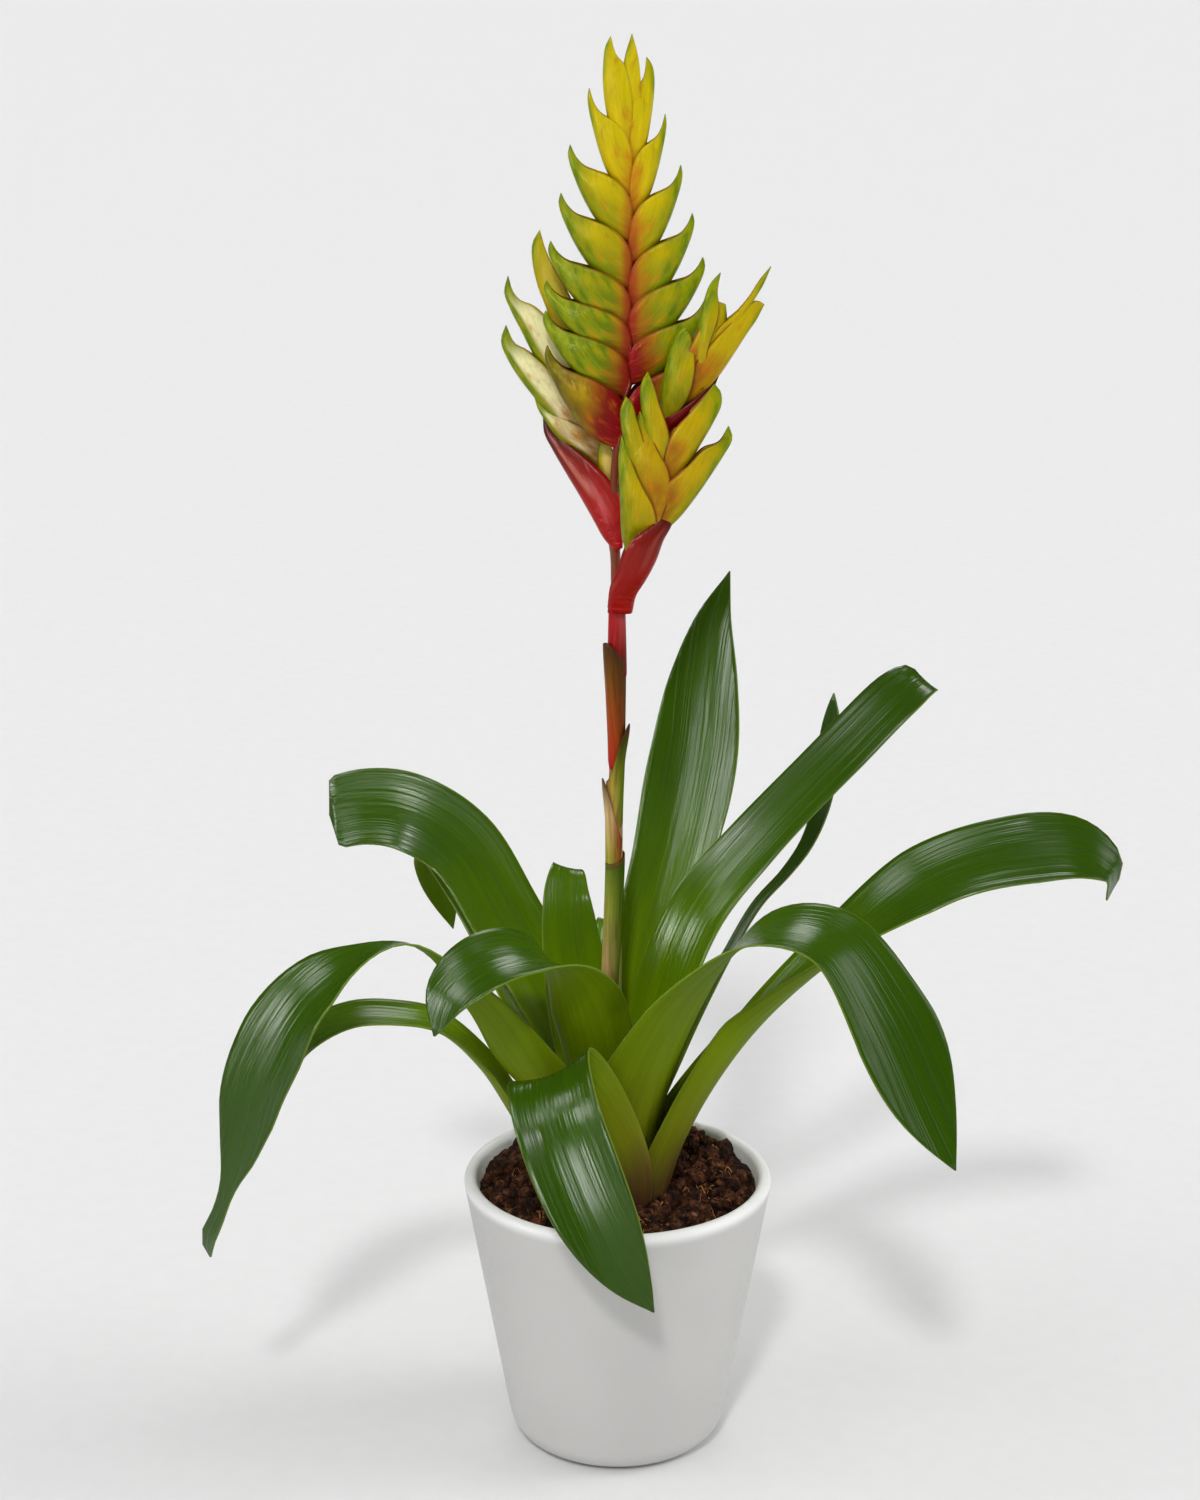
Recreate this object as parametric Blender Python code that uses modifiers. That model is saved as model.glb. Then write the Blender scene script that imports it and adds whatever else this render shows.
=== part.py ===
"""A potted bromeliad with a branched, flattened flower spike, in a plain tapered white pot.

Run with: blender --background --python part.py
Metres, +Z up. The origin is the centre of the pot's base, on the surface it stands on,
and the pot's front faces -Y.
"""

import math

import bmesh
import bpy
import numpy as np

MM = 0.001
FIT = 0.3  # mm, the clearance left between two pieces that touch

# Pot, mm
POT_HEIGHT = 124.0
RIM_RADIUS = 67.9
BASE_RADIUS = 46.0  # where the side would meet the surface if it had no round corner
CORNER = 14.0
WALL = 5.6
FLOOR = 7.0
POT_STEPS = 44

# Soil, mm
SOIL_DEPTH = 9.0  # mean depth of the surface below the rim
WELL_FOOT = 21.2  # radius of the well in the middle, at its floor
WELL_MOUTH = 25.0
CROWN_BASE = 94.0  # height of the well's floor, where the crown stands
SOIL_STEPS = 36

# Crown and flower stalk, mm
CROWN_RADIUS = 20.4
CROWN_TOP = 98.0
STALK_RADIUS = 3.3
AXIS_RADIUS = 1.3

# Leaves, mm
FLATTEST = 60.0  # radius of a leaf's cross-section far from the crown
LEAF_THICK = 0.9
LEAF_EDGE = 0.5
LEAF_ROWS = 17
LEAF_COLUMNS = 5

# Sheaths round the stalk, mm
SHEATH_WALL = 0.5
SHEATH_FLARE = 1.2
SHEATH_ROWS = 6
SHEATH_COLUMNS = 12

# Bracts, mm
BRACT_THICK = 0.6
BRACT_ROWS = 5
BRACT_HALF = 3  # columns on each flank

# Each leaf: the direction it leaves the crown in, the radius of its base round the stalk, the
# points its middle line passes above the crown, (width at the base, full width, where the tip
# begins to narrow, how square the tip is), its roll in degrees at even steps along it, where
# the sheath at its base ends and, for a channelled leaf, its cross-section's radius.
LEAVES = {
    "leaf_front": dict(
        turn=-95, ring=19.2,
        line=[(-1, -25, 132), (-13, -33, 165), (-27, -51, 191), (-25, -70, 182),
              (-12, -86, 150), (4, -93, 122), (16, -95, 104)],
        width=(28, 39, 0.76, 2.4), roll=[0, 0, 5, 5, 0, 0]),
    "leaf_front_left": dict(
        turn=-115, ring=9.6,
        line=[(-4.6, -11, 140), (-8, -16, 175), (-16, -27, 213), (-28, -39, 236),
              (-50, -50, 243), (-69, -57, 235), (-78, -61, 219), (-74, -63, 204)],
        width=(28, 36, 0.6, 1.6), roll=[0, 5, 5, -30, -45, -50]),
    "leaf_front_right": dict(
        turn=-62, ring=13.8,
        line=[(8, -16, 140), (17, -26, 182), (38, -42, 228), (62, -54, 254),
              (86, -63, 254), (108, -72, 224), (124, -82, 186), (137, -90, 165)],
        width=(30, 40, 0.7, 2.0), roll=[0, 0, 15, 45, 70, 75]),
    "leaf_left_long": dict(
        turn=-145, ring=15.6,
        line=[(-17, -13, 140), (-40, -23, 185), (-57, -29, 214), (-92, -33, 240),
              (-130, -34, 225), (-152, -34, 188), (-163, -35, 145), (-178, -36, 107)],
        width=(24, 39, 0.6, 1.3), roll=[0, 5, 25, 5, -60, -75, -60]),
    "leaf_left_low": dict(
        turn=180, ring=17.6,
        line=[(-20, 0, 115), (-26, 0, 126), (-41, 0, 143), (-60, -2, 176), (-78, -4, 194),
              (-96, -5, 198), (-115, -5, 198), (-134, -5, 187), (-146, -3, 167),
              (-155, 0, 148)],
        width=(34, 26, 0.6, 2.0), roll=[0, 0, 0, -5, -10, -20],
        bend=[17.6, 17, 17, 25, 40, 50]),
    "leaf_left_high": dict(
        turn=144, ring=13.2,
        line=[(-13, 10, 140), (-28, 22, 191), (-50, 34, 233), (-69, 41, 264),
              (-93, 46, 278), (-118, 54, 278), (-128, 60, 272), (-128, 68, 262)],
        width=(24, 32, 0.84, 3.0), roll=[0, 0, -35, -50, -50]),
    "leaf_back_left": dict(
        turn=128, ring=14.4,
        line=[(-15, 17, 140), (-38, 30, 190), (-62, 52, 232), (-80, 70, 251),
              (-82, 78, 238), (-76, 80, 214)],
        width=(24, 30, 0.7, 2.0), roll=[0, 0]),
    "leaf_back_short": dict(
        turn=110, ring=10.5,
        line=[(-4.4, 12, 140), (-8, 19, 190), (-13, 27, 224), (-18, 40, 244), (-22, 56, 243),
              (-25, 66, 226)],
        width=(19, 33, 0.55, 2.2), sheath=(0.2, 0.5), roll=[0, 0]),
    "leaf_upright": dict(
        turn=56, ring=7.0,
        line=[(4.7, 7.3, 140), (12, 13, 220), (24, 22, 264), (33, 34, 304), (37, 44, 334),
              (42, 54, 360), (49, 62, 380)],
        width=(24, 38, 0.68, 2.0), roll=[0, 3, 14, 10, 5, 0]),
    "leaf_right_high": dict(
        turn=25, ring=8.4,
        line=[(9.4, 4.7, 140), (21, 10, 200), (36, 16, 242), (58, 24, 268), (98, 38, 304),
              (124, 49, 328), (134, 55, 333), (139, 63, 326)],
        width=(24, 29, 0.88, 3.4), sheath=(0.2, 0.5), roll=[0, 0, 25, 30, 30, 20]),
    "leaf_right_narrow": dict(
        turn=40, ring=12.3,
        line=[(11.2, 9.2, 140), (30, 20, 180), (48, 31, 212), (63, 40, 234), (77, 46, 247),
              (86, 50, 259), (92, 54, 274), (95, 56, 300), (96, 58, 326)],
        width=(20, 24, 0.5, 1.8), roll=[0, 0, -20, -40, -40, -20]),
    "leaf_right_arching": dict(
        turn=-5, ring=17.6,
        line=[(27, -2, 134), (33, -3, 148), (45, -3, 168), (61, -3, 190), (87, -2, 216),
              (133, 0, 257), (168, 0, 271), (197, 0, 272), (211, 0, 263), (209, 0, 250)],
        width=(50, 35, 0.84, 2.6), sheath=(0.2, 0.6), roll=[0, 0, -15, 5, 35, 45, 30],
        bend=[17.6, 17, 18, 26, 60, 60, 60]),
    "leaf_back_low": dict(
        turn=88, ring=19.2,
        line=[(1, 26, 137), (2, 46, 165), (4, 76, 192), (6, 110, 200), (8, 136, 178),
              (9, 148, 150)],
        width=(36, 32, 0.6, 2.0), roll=[0, 0]),
}

# Bracts round the stalk: height of the foot, height of the tip, direction of the tip
STALK_BRACTS = {
    "stalk_bract_1": (214, 268, 80),
    "stalk_bract_2": (258, 304, 185),
    "stalk_bract_3": (294, 330, 0),
    "stalk_bract_4": (321, 363, 190),
    "stalk_bract_5": (352, 379, 20),
}

# Main spike: feet along its axis, and where each tip stands out from the axis and above the foot
MAIN_LEFT = [(448, 28, 40), (467, 32.5, 35), (482.5, 33, 31.5), (494, 31.5, 36), (511, 27.5, 38),
             (530, 24, 38), (548, 16.5, 42), (566, 8, 42)]
MAIN_RIGHT = [(457, 30, 33), (472, 31, 34), (487, 29.5, 36.5), (502, 25, 39), (521, 20, 39),
              (540, 13.5, 40), (560, 5, 40)]

# The three branches: the line of each axis from the stalk, which ends in a straight length in a
# plane parallel to the main spike's. Then for each bract, how far its foot is up that length, the
# x and z of its tip, and its depth. The outer bract holds the foot of the branch, and its last
# two numbers are how high its mouth and its lip are.
SPIKES = {
    "left_branch": dict(
        axis=[(-1.5, 0, 392), (-1.5, 6, 397), (-3, 11, 404), (-24, 11, 478)],
        bracts=[(34, -35, 465, 3.2), (46, -46, 494, 3.0), (58, -45, 514, 2.5),
                (66, -33, 531, 2.0), (22, -4, 449, 3.2)],
        outer=(1, -28.5, 449, 4.8, 0.4, 0.4)),
    "right_branch": dict(
        axis=[(-1, 0, 430), (4, -6, 438), (10, -9.5, 448), (32, -9.5, 481)],
        bracts=[(22, 57.5, 504, 3.1), (33, 60, 519, 2.2), (33, 44, 505, 1.6), (22, 40.5, 517, 3.0),
                (9, 26, 496.5, 3.5)],
        outer=(1, 40, 475.5, 3.8, 0.6, 0.75)),
    "lower_branch": dict(
        axis=[(-1, 0, 372), (-1, -9, 376), (0, -17, 384), (19, -17, 446)],
        bracts=[(24, 1, 452, 3.5), (35, 9, 461, 3.0), (58, 12, 477, 2.0), (38, 44, 456, 3.2),
                (50, 38.5, 473, 2.6)],
        outer=(1, 21.5, 424, 4.6, 0.64, 0.74)),
}

STALK_LINE = [(0, 0, CROWN_TOP - 2), (-1.5, 0, 213), (-1, 0, 300), (-1, 0, 380), (-1.5, 0, 415)]
MAIN_AXIS = [(-1.5, 0, 415), (-1, 0, 440), (2.5, 0, 460), (4, 0, 485), (4.5, 0, 530), (5, 0, 606)]


def vector(*values):
    return np.array(values, float)


def unit(v):
    return v / np.linalg.norm(v)


def ease(t):
    t = np.clip(t, 0.0, 1.0)
    return t * t * (3 - 2 * t)


def along(points, count):
    """Points at even distances along a smooth curve through the given points."""
    p = np.asarray(points, float)
    p = np.vstack([2 * p[0] - p[1], p, 2 * p[-1] - p[-2]])
    fine = []
    for p0, p1, p2, p3 in zip(p, p[1:], p[2:], p[3:]):
        k1 = np.linalg.norm(p1 - p0) ** 0.5
        k2 = k1 + np.linalg.norm(p2 - p1) ** 0.5
        k3 = k2 + np.linalg.norm(p3 - p2) ** 0.5
        for k in np.linspace(k1, k2, 24, endpoint=False):
            a1 = p0 + (p1 - p0) * k / k1
            a2 = p1 + (p2 - p1) * (k - k1) / (k2 - k1)
            a3 = p2 + (p3 - p2) * (k - k2) / (k3 - k2)
            b1 = a1 + (a2 - a1) * k / k2
            b2 = a2 + (a3 - a2) * (k - k1) / (k3 - k1)
            fine.append(b1 + (b2 - b1) * (k - k1) / (k2 - k1))
    fine = np.array(fine + [p[-2]])
    run = np.concatenate([[0], np.cumsum(np.linalg.norm(np.diff(fine, axis=0), axis=1))])
    at = np.linspace(0, run[-1], count)
    return np.stack([np.interp(at, run, fine[:, i]) for i in range(3)], axis=1)


def bezier(p0, p1, p2, p3, t):
    s = 1 - t
    return s**3 * p0 + 3 * s * s * t * p1 + 3 * s * t * t * p2 + t**3 * p3


def material(name, colour, roughness):
    found = bpy.data.materials.get(name)
    if found:
        return found
    made = bpy.data.materials.new(name)
    made.use_nodes = True
    shader = made.node_tree.nodes["Principled BSDF"]
    shader.inputs["Base Color"].default_value = (*colour, 1)
    shader.inputs["Roughness"].default_value = roughness
    shader.inputs["Metallic"].default_value = 0.0
    made.diffuse_color = (*colour, 1)
    return made


def add_object(name, mesh, finish):
    obj = bpy.data.objects.new(name, mesh)
    plant.objects.link(obj)
    mesh.materials.append(finish)
    mesh.shade_smooth()
    return obj


def shell(name, outer, inner, finish):
    """A closed solid between two grids of points, outer and inner, given in mm."""
    rows, columns = outer.shape[:2]
    bm = bmesh.new()
    sides = [[[bm.verts.new(p * MM) for p in row] for row in grid] for grid in (outer, inner)]
    front, back = sides
    for i in range(rows - 1):
        for j in range(columns - 1):
            bm.faces.new((front[i][j], front[i + 1][j], front[i + 1][j + 1], front[i][j + 1]))
            bm.faces.new((back[i][j], back[i][j + 1], back[i + 1][j + 1], back[i + 1][j]))
    border = [(i, 0) for i in range(rows)] + [(rows - 1, j) for j in range(1, columns)]
    border += [(i, columns - 1) for i in range(rows - 2, -1, -1)]
    border += [(0, j) for j in range(columns - 2, 0, -1)]
    for (i, j), (k, m) in zip(border, border[1:] + border[:1]):
        bm.faces.new((front[k][m], front[i][j], back[i][j], back[k][m]))
    bmesh.ops.recalc_face_normals(bm, faces=bm.faces)
    mesh = bpy.data.meshes.new(name)
    bm.to_mesh(mesh)
    bm.free()
    return add_object(name, mesh, finish)


def grid_normals(grid):
    """Unit normals of a grid of points."""
    down = np.gradient(grid, axis=0)
    across = np.gradient(grid, axis=1)
    normals = np.cross(across, down)
    return normals / np.linalg.norm(normals, axis=2)[:, :, None]


def turned(name, profile, steps, finish):
    """A solid of revolution from a closed list of (radius, height), in mm."""
    mesh = bpy.data.meshes.new(name)
    points = [(r * MM, 0, z * MM) for r, z in profile]
    mesh.from_pydata(points, [(i, i + 1) for i in range(len(points) - 1)], [])
    obj = add_object(name, mesh, finish)
    screw = obj.modifiers.new("turn", "SCREW")
    screw.steps = screw.render_steps = steps
    screw.use_merge_vertices = True
    screw.merge_threshold = 0.0001
    return obj


def rounded(centre, radius, start, end, steps):
    """Points of an arc in (radius, height), angles in degrees."""
    angles = np.radians(np.linspace(start, end, steps + 1))
    return [(centre[0] + radius * math.cos(a), centre[1] + radius * math.sin(a)) for a in angles]


def inner_radius(height):
    """Radius of the pot's inner wall at a height."""
    slope = (RIM_RADIUS - BASE_RADIUS) / POT_HEIGHT
    return BASE_RADIUS + slope * height - WALL * math.hypot(1, slope)


def make_pot(finish):
    slope = (RIM_RADIUS - BASE_RADIUS) / POT_HEIGHT
    lean = math.degrees(math.atan(slope))
    lip = WALL / 2
    lip_height = POT_HEIGHT - lip
    lip_centre = (BASE_RADIUS + slope * lip_height - lip * math.hypot(1, slope), lip_height)
    corner_centre = (BASE_RADIUS + slope * CORNER - CORNER * math.hypot(1, slope), CORNER)
    inner_corner = CORNER - WALL + 2
    inside = (inner_radius(FLOOR + inner_corner) - inner_corner, FLOOR + inner_corner)
    profile = rounded(lip_centre, lip, 180 - lean, -lean, 8)
    profile += rounded(corner_centre, CORNER, -lean, -90, 6)
    profile += [(0, 0), (0, FLOOR)]
    profile += rounded(inside, inner_corner, -90, -lean, 4)
    profile.append(profile[0])
    return turned("pot", profile, POT_STEPS, finish)


def soil_height(x, y):
    """The soil's top, higher behind the crown at left and right, lower at the front wall."""
    height = POT_HEIGHT - SOIL_DEPTH
    mounds = [(-40, 30, 18, 7), (34, 40, 16, 8), (52, 8, 14, 4), (-50, -14, 14, 3),
              (22, -28, 12, -2), (-18, -40, 14, -1), (0, 52, 14, 2)]
    for cx, cy, spread, lift in mounds:
        height += lift * math.exp(-((x - cx) ** 2 + (y - cy) ** 2) / (2 * spread**2))
    height += 0.9 * math.sin(0.31 * x + 1.2) * math.cos(0.27 * y) + 0.6 * math.sin(0.53 * (x - y))
    return height


def make_soil(finish):
    """Soil filling the pot, with a well where the crown stands."""
    bm = bmesh.new()
    bottom = FLOOR + FIT
    corner = 12.0
    rings = []
    for radius, height in ((inner_radius(bottom + corner) - corner, bottom),
                           (inner_radius(bottom + corner) - 0.3 * corner, bottom + 0.3 * corner),
                           (inner_radius(bottom + corner) - 2 * FIT, bottom + corner),
                           (inner_radius(60) - 2 * FIT, 60)):
        rings.append([(radius, height)] * SOIL_STEPS)
    wall = []
    for k in range(SOIL_STEPS):
        angle = 2 * math.pi * k / SOIL_STEPS
        radius = inner_radius(POT_HEIGHT - SOIL_DEPTH) - 2 * FIT
        height = soil_height(radius * math.cos(angle), radius * math.sin(angle))
        wall.append((inner_radius(height) - 2 * FIT, height))
    rings.append(wall)
    for share in (0.86, 0.66, 0.46, 0.28, 0.12, 0.0):
        ring = []
        for k in range(SOIL_STEPS):
            angle = 2 * math.pi * k / SOIL_STEPS
            radius = WELL_MOUTH + share * (wall[k][0] - WELL_MOUTH)
            ring.append((radius, soil_height(radius * math.cos(angle), radius * math.sin(angle))))
        rings.append(ring)
    rings.append([(WELL_FOOT, CROWN_BASE)] * SOIL_STEPS)
    loops = []
    for ring in rings:
        loop = []
        for k, (radius, height) in enumerate(ring):
            angle = 2 * math.pi * k / SOIL_STEPS
            loop.append(bm.verts.new((radius * math.cos(angle) * MM, radius * math.sin(angle) * MM,
                                      height * MM)))
        loops.append(loop)
    for low, high in zip(loops, loops[1:]):
        for k in range(SOIL_STEPS):
            n = (k + 1) % SOIL_STEPS
            bm.faces.new((low[k], low[n], high[n], high[k]))
    bm.faces.new(loops[0][::-1])
    bm.faces.new(loops[-1])
    bmesh.ops.recalc_face_normals(bm, faces=bm.faces)
    mesh = bpy.data.meshes.new("soil")
    bm.to_mesh(mesh)
    bm.free()
    return add_object("soil", mesh, finish)


def tube_mesh(name, points, radii, sides=10):
    """A closed tube through points, in mm, with a radius at each."""
    middle = np.asarray(points, float)
    rows = []
    side = vector(1, 0, 0)
    for i, p in enumerate(middle):
        before, after = middle[max(i - 1, 0)], middle[min(i + 1, len(middle) - 1)]
        forward = unit(after - before)
        side = unit(side - forward * (side @ forward))
        other = np.cross(forward, side)
        angles = np.linspace(0, 2 * math.pi, sides, endpoint=False)
        rows.append([p + radii[i] * (side * math.cos(a) + other * math.sin(a)) for a in angles])
    bm = bmesh.new()
    loops = [[bm.verts.new(p * MM) for p in row] for row in rows]
    for low, high in zip(loops, loops[1:]):
        for k in range(sides):
            n = (k + 1) % sides
            bm.faces.new((low[k], low[n], high[n], high[k]))
    bm.faces.new(loops[0][::-1])
    bm.faces.new(loops[-1])
    bmesh.ops.recalc_face_normals(bm, faces=bm.faces)
    mesh = bpy.data.meshes.new(name)
    bm.to_mesh(mesh)
    bm.free()
    return mesh


def join_to(obj, name, mesh):
    """Adds a mesh to an object with a union."""
    helper = bpy.data.objects.new(name, mesh)
    helpers.objects.link(helper)
    helper.hide_render = True
    helper.display_type = "WIRE"
    union = obj.modifiers.new(name, "BOOLEAN")
    union.operation = "UNION"
    union.object = helper


def make_stalk(finish):
    """The crown, the flower stalk on it, the main spike's axis and the three branch axes."""
    line = np.vstack([along(STALK_LINE, 9), along(MAIN_AXIS, 12)[1:]])
    mesh = tube_mesh("flower_stalk", line, stalk_radius(line[:, 2]))
    stalk = add_object("flower_stalk", mesh, finish)
    crown_points = [(0, 0, CROWN_BASE + FIT), (0, 0, CROWN_BASE + 1.5), (0, 0, CROWN_TOP)]
    crown = tube_mesh("crown", crown_points, [CROWN_RADIUS - 1, CROWN_RADIUS, CROWN_RADIUS], 24)
    join_to(stalk, "crown", crown)
    for name, spike in SPIKES.items():
        points = np.vstack([along(spike["axis"][:3], 4), spike["axis"][3]])
        radii = [AXIS_RADIUS] * 4 + [AXIS_RADIUS - 0.5]
        join_to(stalk, name + "_axis", tube_mesh(name + "_axis", points, radii, 8))
    return stalk


def leaf_grid(leaf, rows, columns):
    """The leaf's middle surface: rows from base to tip, columns across, in mm."""
    turn = math.radians(leaf["turn"])
    outward = vector(math.cos(turn), math.sin(turn), 0)
    side = vector(-math.sin(turn), math.cos(turn), 0)
    ring = leaf["ring"]
    base = outward * ring + vector(0, 0, CROWN_TOP + FIT)
    middle = along([base] + leaf["line"], rows)
    forward = np.gradient(middle, axis=0)
    forward[0] = (0, 0, 1)  # it stands straight up on the crown
    steps = np.linspace(0, 1, rows)
    roll = np.interp(steps, np.linspace(0, 1, len(leaf["roll"])), leaf["roll"])
    base_width, full_width, tip_start, tip_square = leaf["width"]
    start, end = leaf.get("sheath", (0, 0.3))
    width = base_width + (full_width - base_width) * ease((steps - start) / (end - start))
    width *= 1 - np.clip((steps - tip_start) / (1 - tip_start), 0, 0.985) ** tip_square
    away = np.hypot(middle[:, 0], middle[:, 1])
    bend = ring + (FLATTEST - ring) * (1 - np.exp(-(away - ring) / (FLATTEST - ring)))
    if "bend" in leaf:
        bend = np.interp(steps, np.linspace(0, 1, len(leaf["bend"])), leaf["bend"])
    grid = []
    for i in range(rows):
        ahead = unit(forward[i])
        side = unit(side - ahead * (side @ ahead))
        up = np.cross(ahead, side)
        angle = math.radians(roll[i])
        across = side * math.cos(angle) + up * math.sin(angle)
        inward = up * math.cos(angle) - side * math.sin(angle)
        reach = np.linspace(-0.5, 0.5, columns + 1) * width[i] / bend[i]
        grid.append([middle[i] + bend[i] * (across * math.sin(a) + inward * (1 - math.cos(a)))
                     for a in reach])
    return np.array(grid)


def make_leaf(name, leaf, finish):
    grid = leaf_grid(leaf, LEAF_ROWS, LEAF_COLUMNS)
    normals = grid_normals(grid)
    across = np.linspace(-1, 1, LEAF_COLUMNS + 1)
    thick = LEAF_EDGE + (LEAF_THICK - LEAF_EDGE) * (1 - across**2)
    ends = np.linspace(1, 0.7, LEAF_ROWS)
    half = (ends[:, None] * thick[None, :] / 2)[:, :, None]
    shell(name, grid + normals * half, grid - normals * half, finish)


def bract_grid(bract, rows, half):
    """A boat-shaped bract: rows from its foot to its tip, columns from one margin round the
    keel to the other. It clasps its axis at the foot and stands out from it at the tip."""
    foot = vector(*bract["foot"])
    up = unit(vector(*bract["axis"]))
    tip = vector(*bract["tip"]) - foot
    rise = tip @ up
    outward = tip - up * rise
    reach = np.linalg.norm(outward)
    outward /= reach
    front = np.cross(up, outward)
    depth = bract["depth"]
    clasp = bract["clasp"]
    mouth = bract.get("mouth", 0.5)
    lip = bract.get("lip", 0.72)
    grid = []
    for t in np.linspace(0, 1, rows + 1):
        keel = bezier(vector(clasp, 0), vector(0.5 * reach + clasp / 2, 0.12 * rise),
                      vector(1.15 * reach, 0.68 * rise), vector(reach, rise), t)
        opening = 0.45
        if t < opening:
            margin = vector(0.25 * clasp, mouth * rise * t / opening)
        else:
            margin = bezier(vector(0.25 * clasp, mouth * rise), vector(0.35 * reach, lip * rise),
                            vector(0.78 * reach, 0.86 * rise), vector(reach - 0.4, rise - 0.2),
                            (t - opening) / (1 - opening))
        girth = clasp + (depth - clasp) * ease(t / 0.5) - (depth - 0.5) * ease((t - 0.55) / 0.45)
        row = []
        for u in np.linspace(-1, 1, 2 * half + 1):
            share = abs(u)
            point = keel + (margin - keel) * share**1.4
            bulge = girth * (1 - (1 - share) ** 2.0) ** 0.5
            row.append(foot + outward * point[0] + up * point[1] + front * math.copysign(bulge, u))
        grid.append(row)
    return np.array(grid)


def make_bract(name, bract, finish):
    grid = bract_grid(bract, BRACT_ROWS, BRACT_HALF)
    normals = grid_normals(grid)
    middle = grid[:, BRACT_HALF]
    inside = grid.mean(axis=1) - middle
    if (normals[1, BRACT_HALF] @ inside[1]) < 0:
        normals = -normals
    thick = np.linspace(BRACT_THICK, 0.35 * BRACT_THICK, BRACT_ROWS + 1)[:, None, None]
    shell(name, grid, grid + normals * thick, finish)


def stalk_radius(height):
    return np.interp(height, [98, 215, 300, 380, 415, 450, 606],
                     [STALK_RADIUS, STALK_RADIUS, 3.0, 2.3, 1.8, AXIS_RADIUS, 0.7])


def sheath_grid(foot, top, direction, lift):
    """A sheath rolled round the stalk, open on the side away from its pointed tip."""
    turn = math.radians(direction)
    grid = []
    for t in np.linspace(0, 1, SHEATH_ROWS + 1):
        spread = math.radians(172) * (1 - ease((t - 0.35) / 0.65)) ** 0.8 + 0.02
        height = foot + (top - foot) * t
        centre_x = np.interp(height, [p[2] for p in STALK_LINE], [p[0] for p in STALK_LINE])
        radius = stalk_radius(foot) + FIT + lift + SHEATH_FLARE * t
        row = []
        for a in np.linspace(-spread, spread, SHEATH_COLUMNS + 1):
            row.append(vector(centre_x + radius * math.cos(turn + a),
                              radius * math.sin(turn + a), height))
        grid.append(row)
    return np.array(grid)


def make_sheath(name, foot, top, direction, finish):
    outer = sheath_grid(foot, top, direction, SHEATH_WALL)
    shell(name, outer, sheath_grid(foot, top, direction, 0), finish)


def spike_bracts():
    """Every bract of the spikes by name, with its foot, tip, axis and size."""
    bracts = {}
    heights = [p[2] for p in MAIN_AXIS]
    for side, rank, letter in ((-1, MAIN_LEFT, "left"), (1, MAIN_RIGHT, "right")):
        for number, (height, reach, rise) in enumerate(rank, 1):
            x = np.interp(height, heights, [p[0] for p in MAIN_AXIS])
            bracts[f"spike_bract_{letter}_{number}"] = dict(
                foot=(x, 0, height), tip=(x + side * reach, 0, height + rise), axis=(0, 0, 1),
                depth=np.interp(height, [448, 566], [5.2, 2.8]),
                clasp=stalk_radius(height) + FIT + BRACT_THICK)
    bracts["spike_bract_top"] = dict(foot=(5, 0, 576), tip=(4, 0, 611.5), axis=(0.05, 0, 1),
                                     depth=1.9, clasp=stalk_radius(576) + FIT + BRACT_THICK)
    for name, spike in SPIKES.items():
        start, end = vector(*spike["axis"][-2]), vector(*spike["axis"][-1])
        length = np.linalg.norm(end - start)
        up = (end - start) / length
        for number, (distance, x, z, depth) in enumerate(spike["bracts"], 1):
            radius = AXIS_RADIUS - 0.5 * min(distance / length, 1)
            bracts[f"{name}_bract_{number}"] = dict(
                foot=start + up * distance, tip=(x, start[1], z), axis=up, depth=depth,
                clasp=radius + FIT + BRACT_THICK)
        distance, x, z, depth, mouth, lip = spike["outer"]
        bracts[f"{name}_outer_bract"] = dict(
            foot=start + up * distance, tip=(x, start[1], z), axis=up, depth=depth,
            clasp=2.6, mouth=mouth, lip=lip)
    return bracts


def clear_scene():
    for obj in list(bpy.data.objects):
        bpy.data.objects.remove(obj, do_unlink=True)


clear_scene()
plant = bpy.data.collections.new("potted_bromeliad")
helpers = bpy.data.collections.new("helpers")
bpy.context.scene.collection.children.link(plant)
bpy.context.scene.collection.children.link(helpers)
helpers.hide_render = True

white = material("white_ceramic", (0.80, 0.80, 0.79), 0.55)
brown = material("brown_coir", (0.07, 0.03, 0.015), 0.95)
green = material("leaf_green", (0.05, 0.16, 0.012), 0.3)
stem = material("stem", (0.35, 0.16, 0.06), 0.5)
yellow = material("spike_yellow", (0.42, 0.42, 0.02), 0.35)
red = material("bract_red", (0.42, 0.03, 0.02), 0.35)

make_pot(white)
make_soil(brown)
make_stalk(stem)
for leaf_name, leaf_shape in LEAVES.items():
    make_leaf(leaf_name, leaf_shape, green)
for sheath_name, (foot, top, direction) in STALK_BRACTS.items():
    make_sheath(sheath_name, foot, top, direction, stem)
for bract_name, bract_shape in spike_bracts().items():
    make_bract(bract_name, bract_shape, red if "outer" in bract_name else yellow)
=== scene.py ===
import functools
import math
import random

import bpy
import numpy as np
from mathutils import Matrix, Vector, noise


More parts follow.
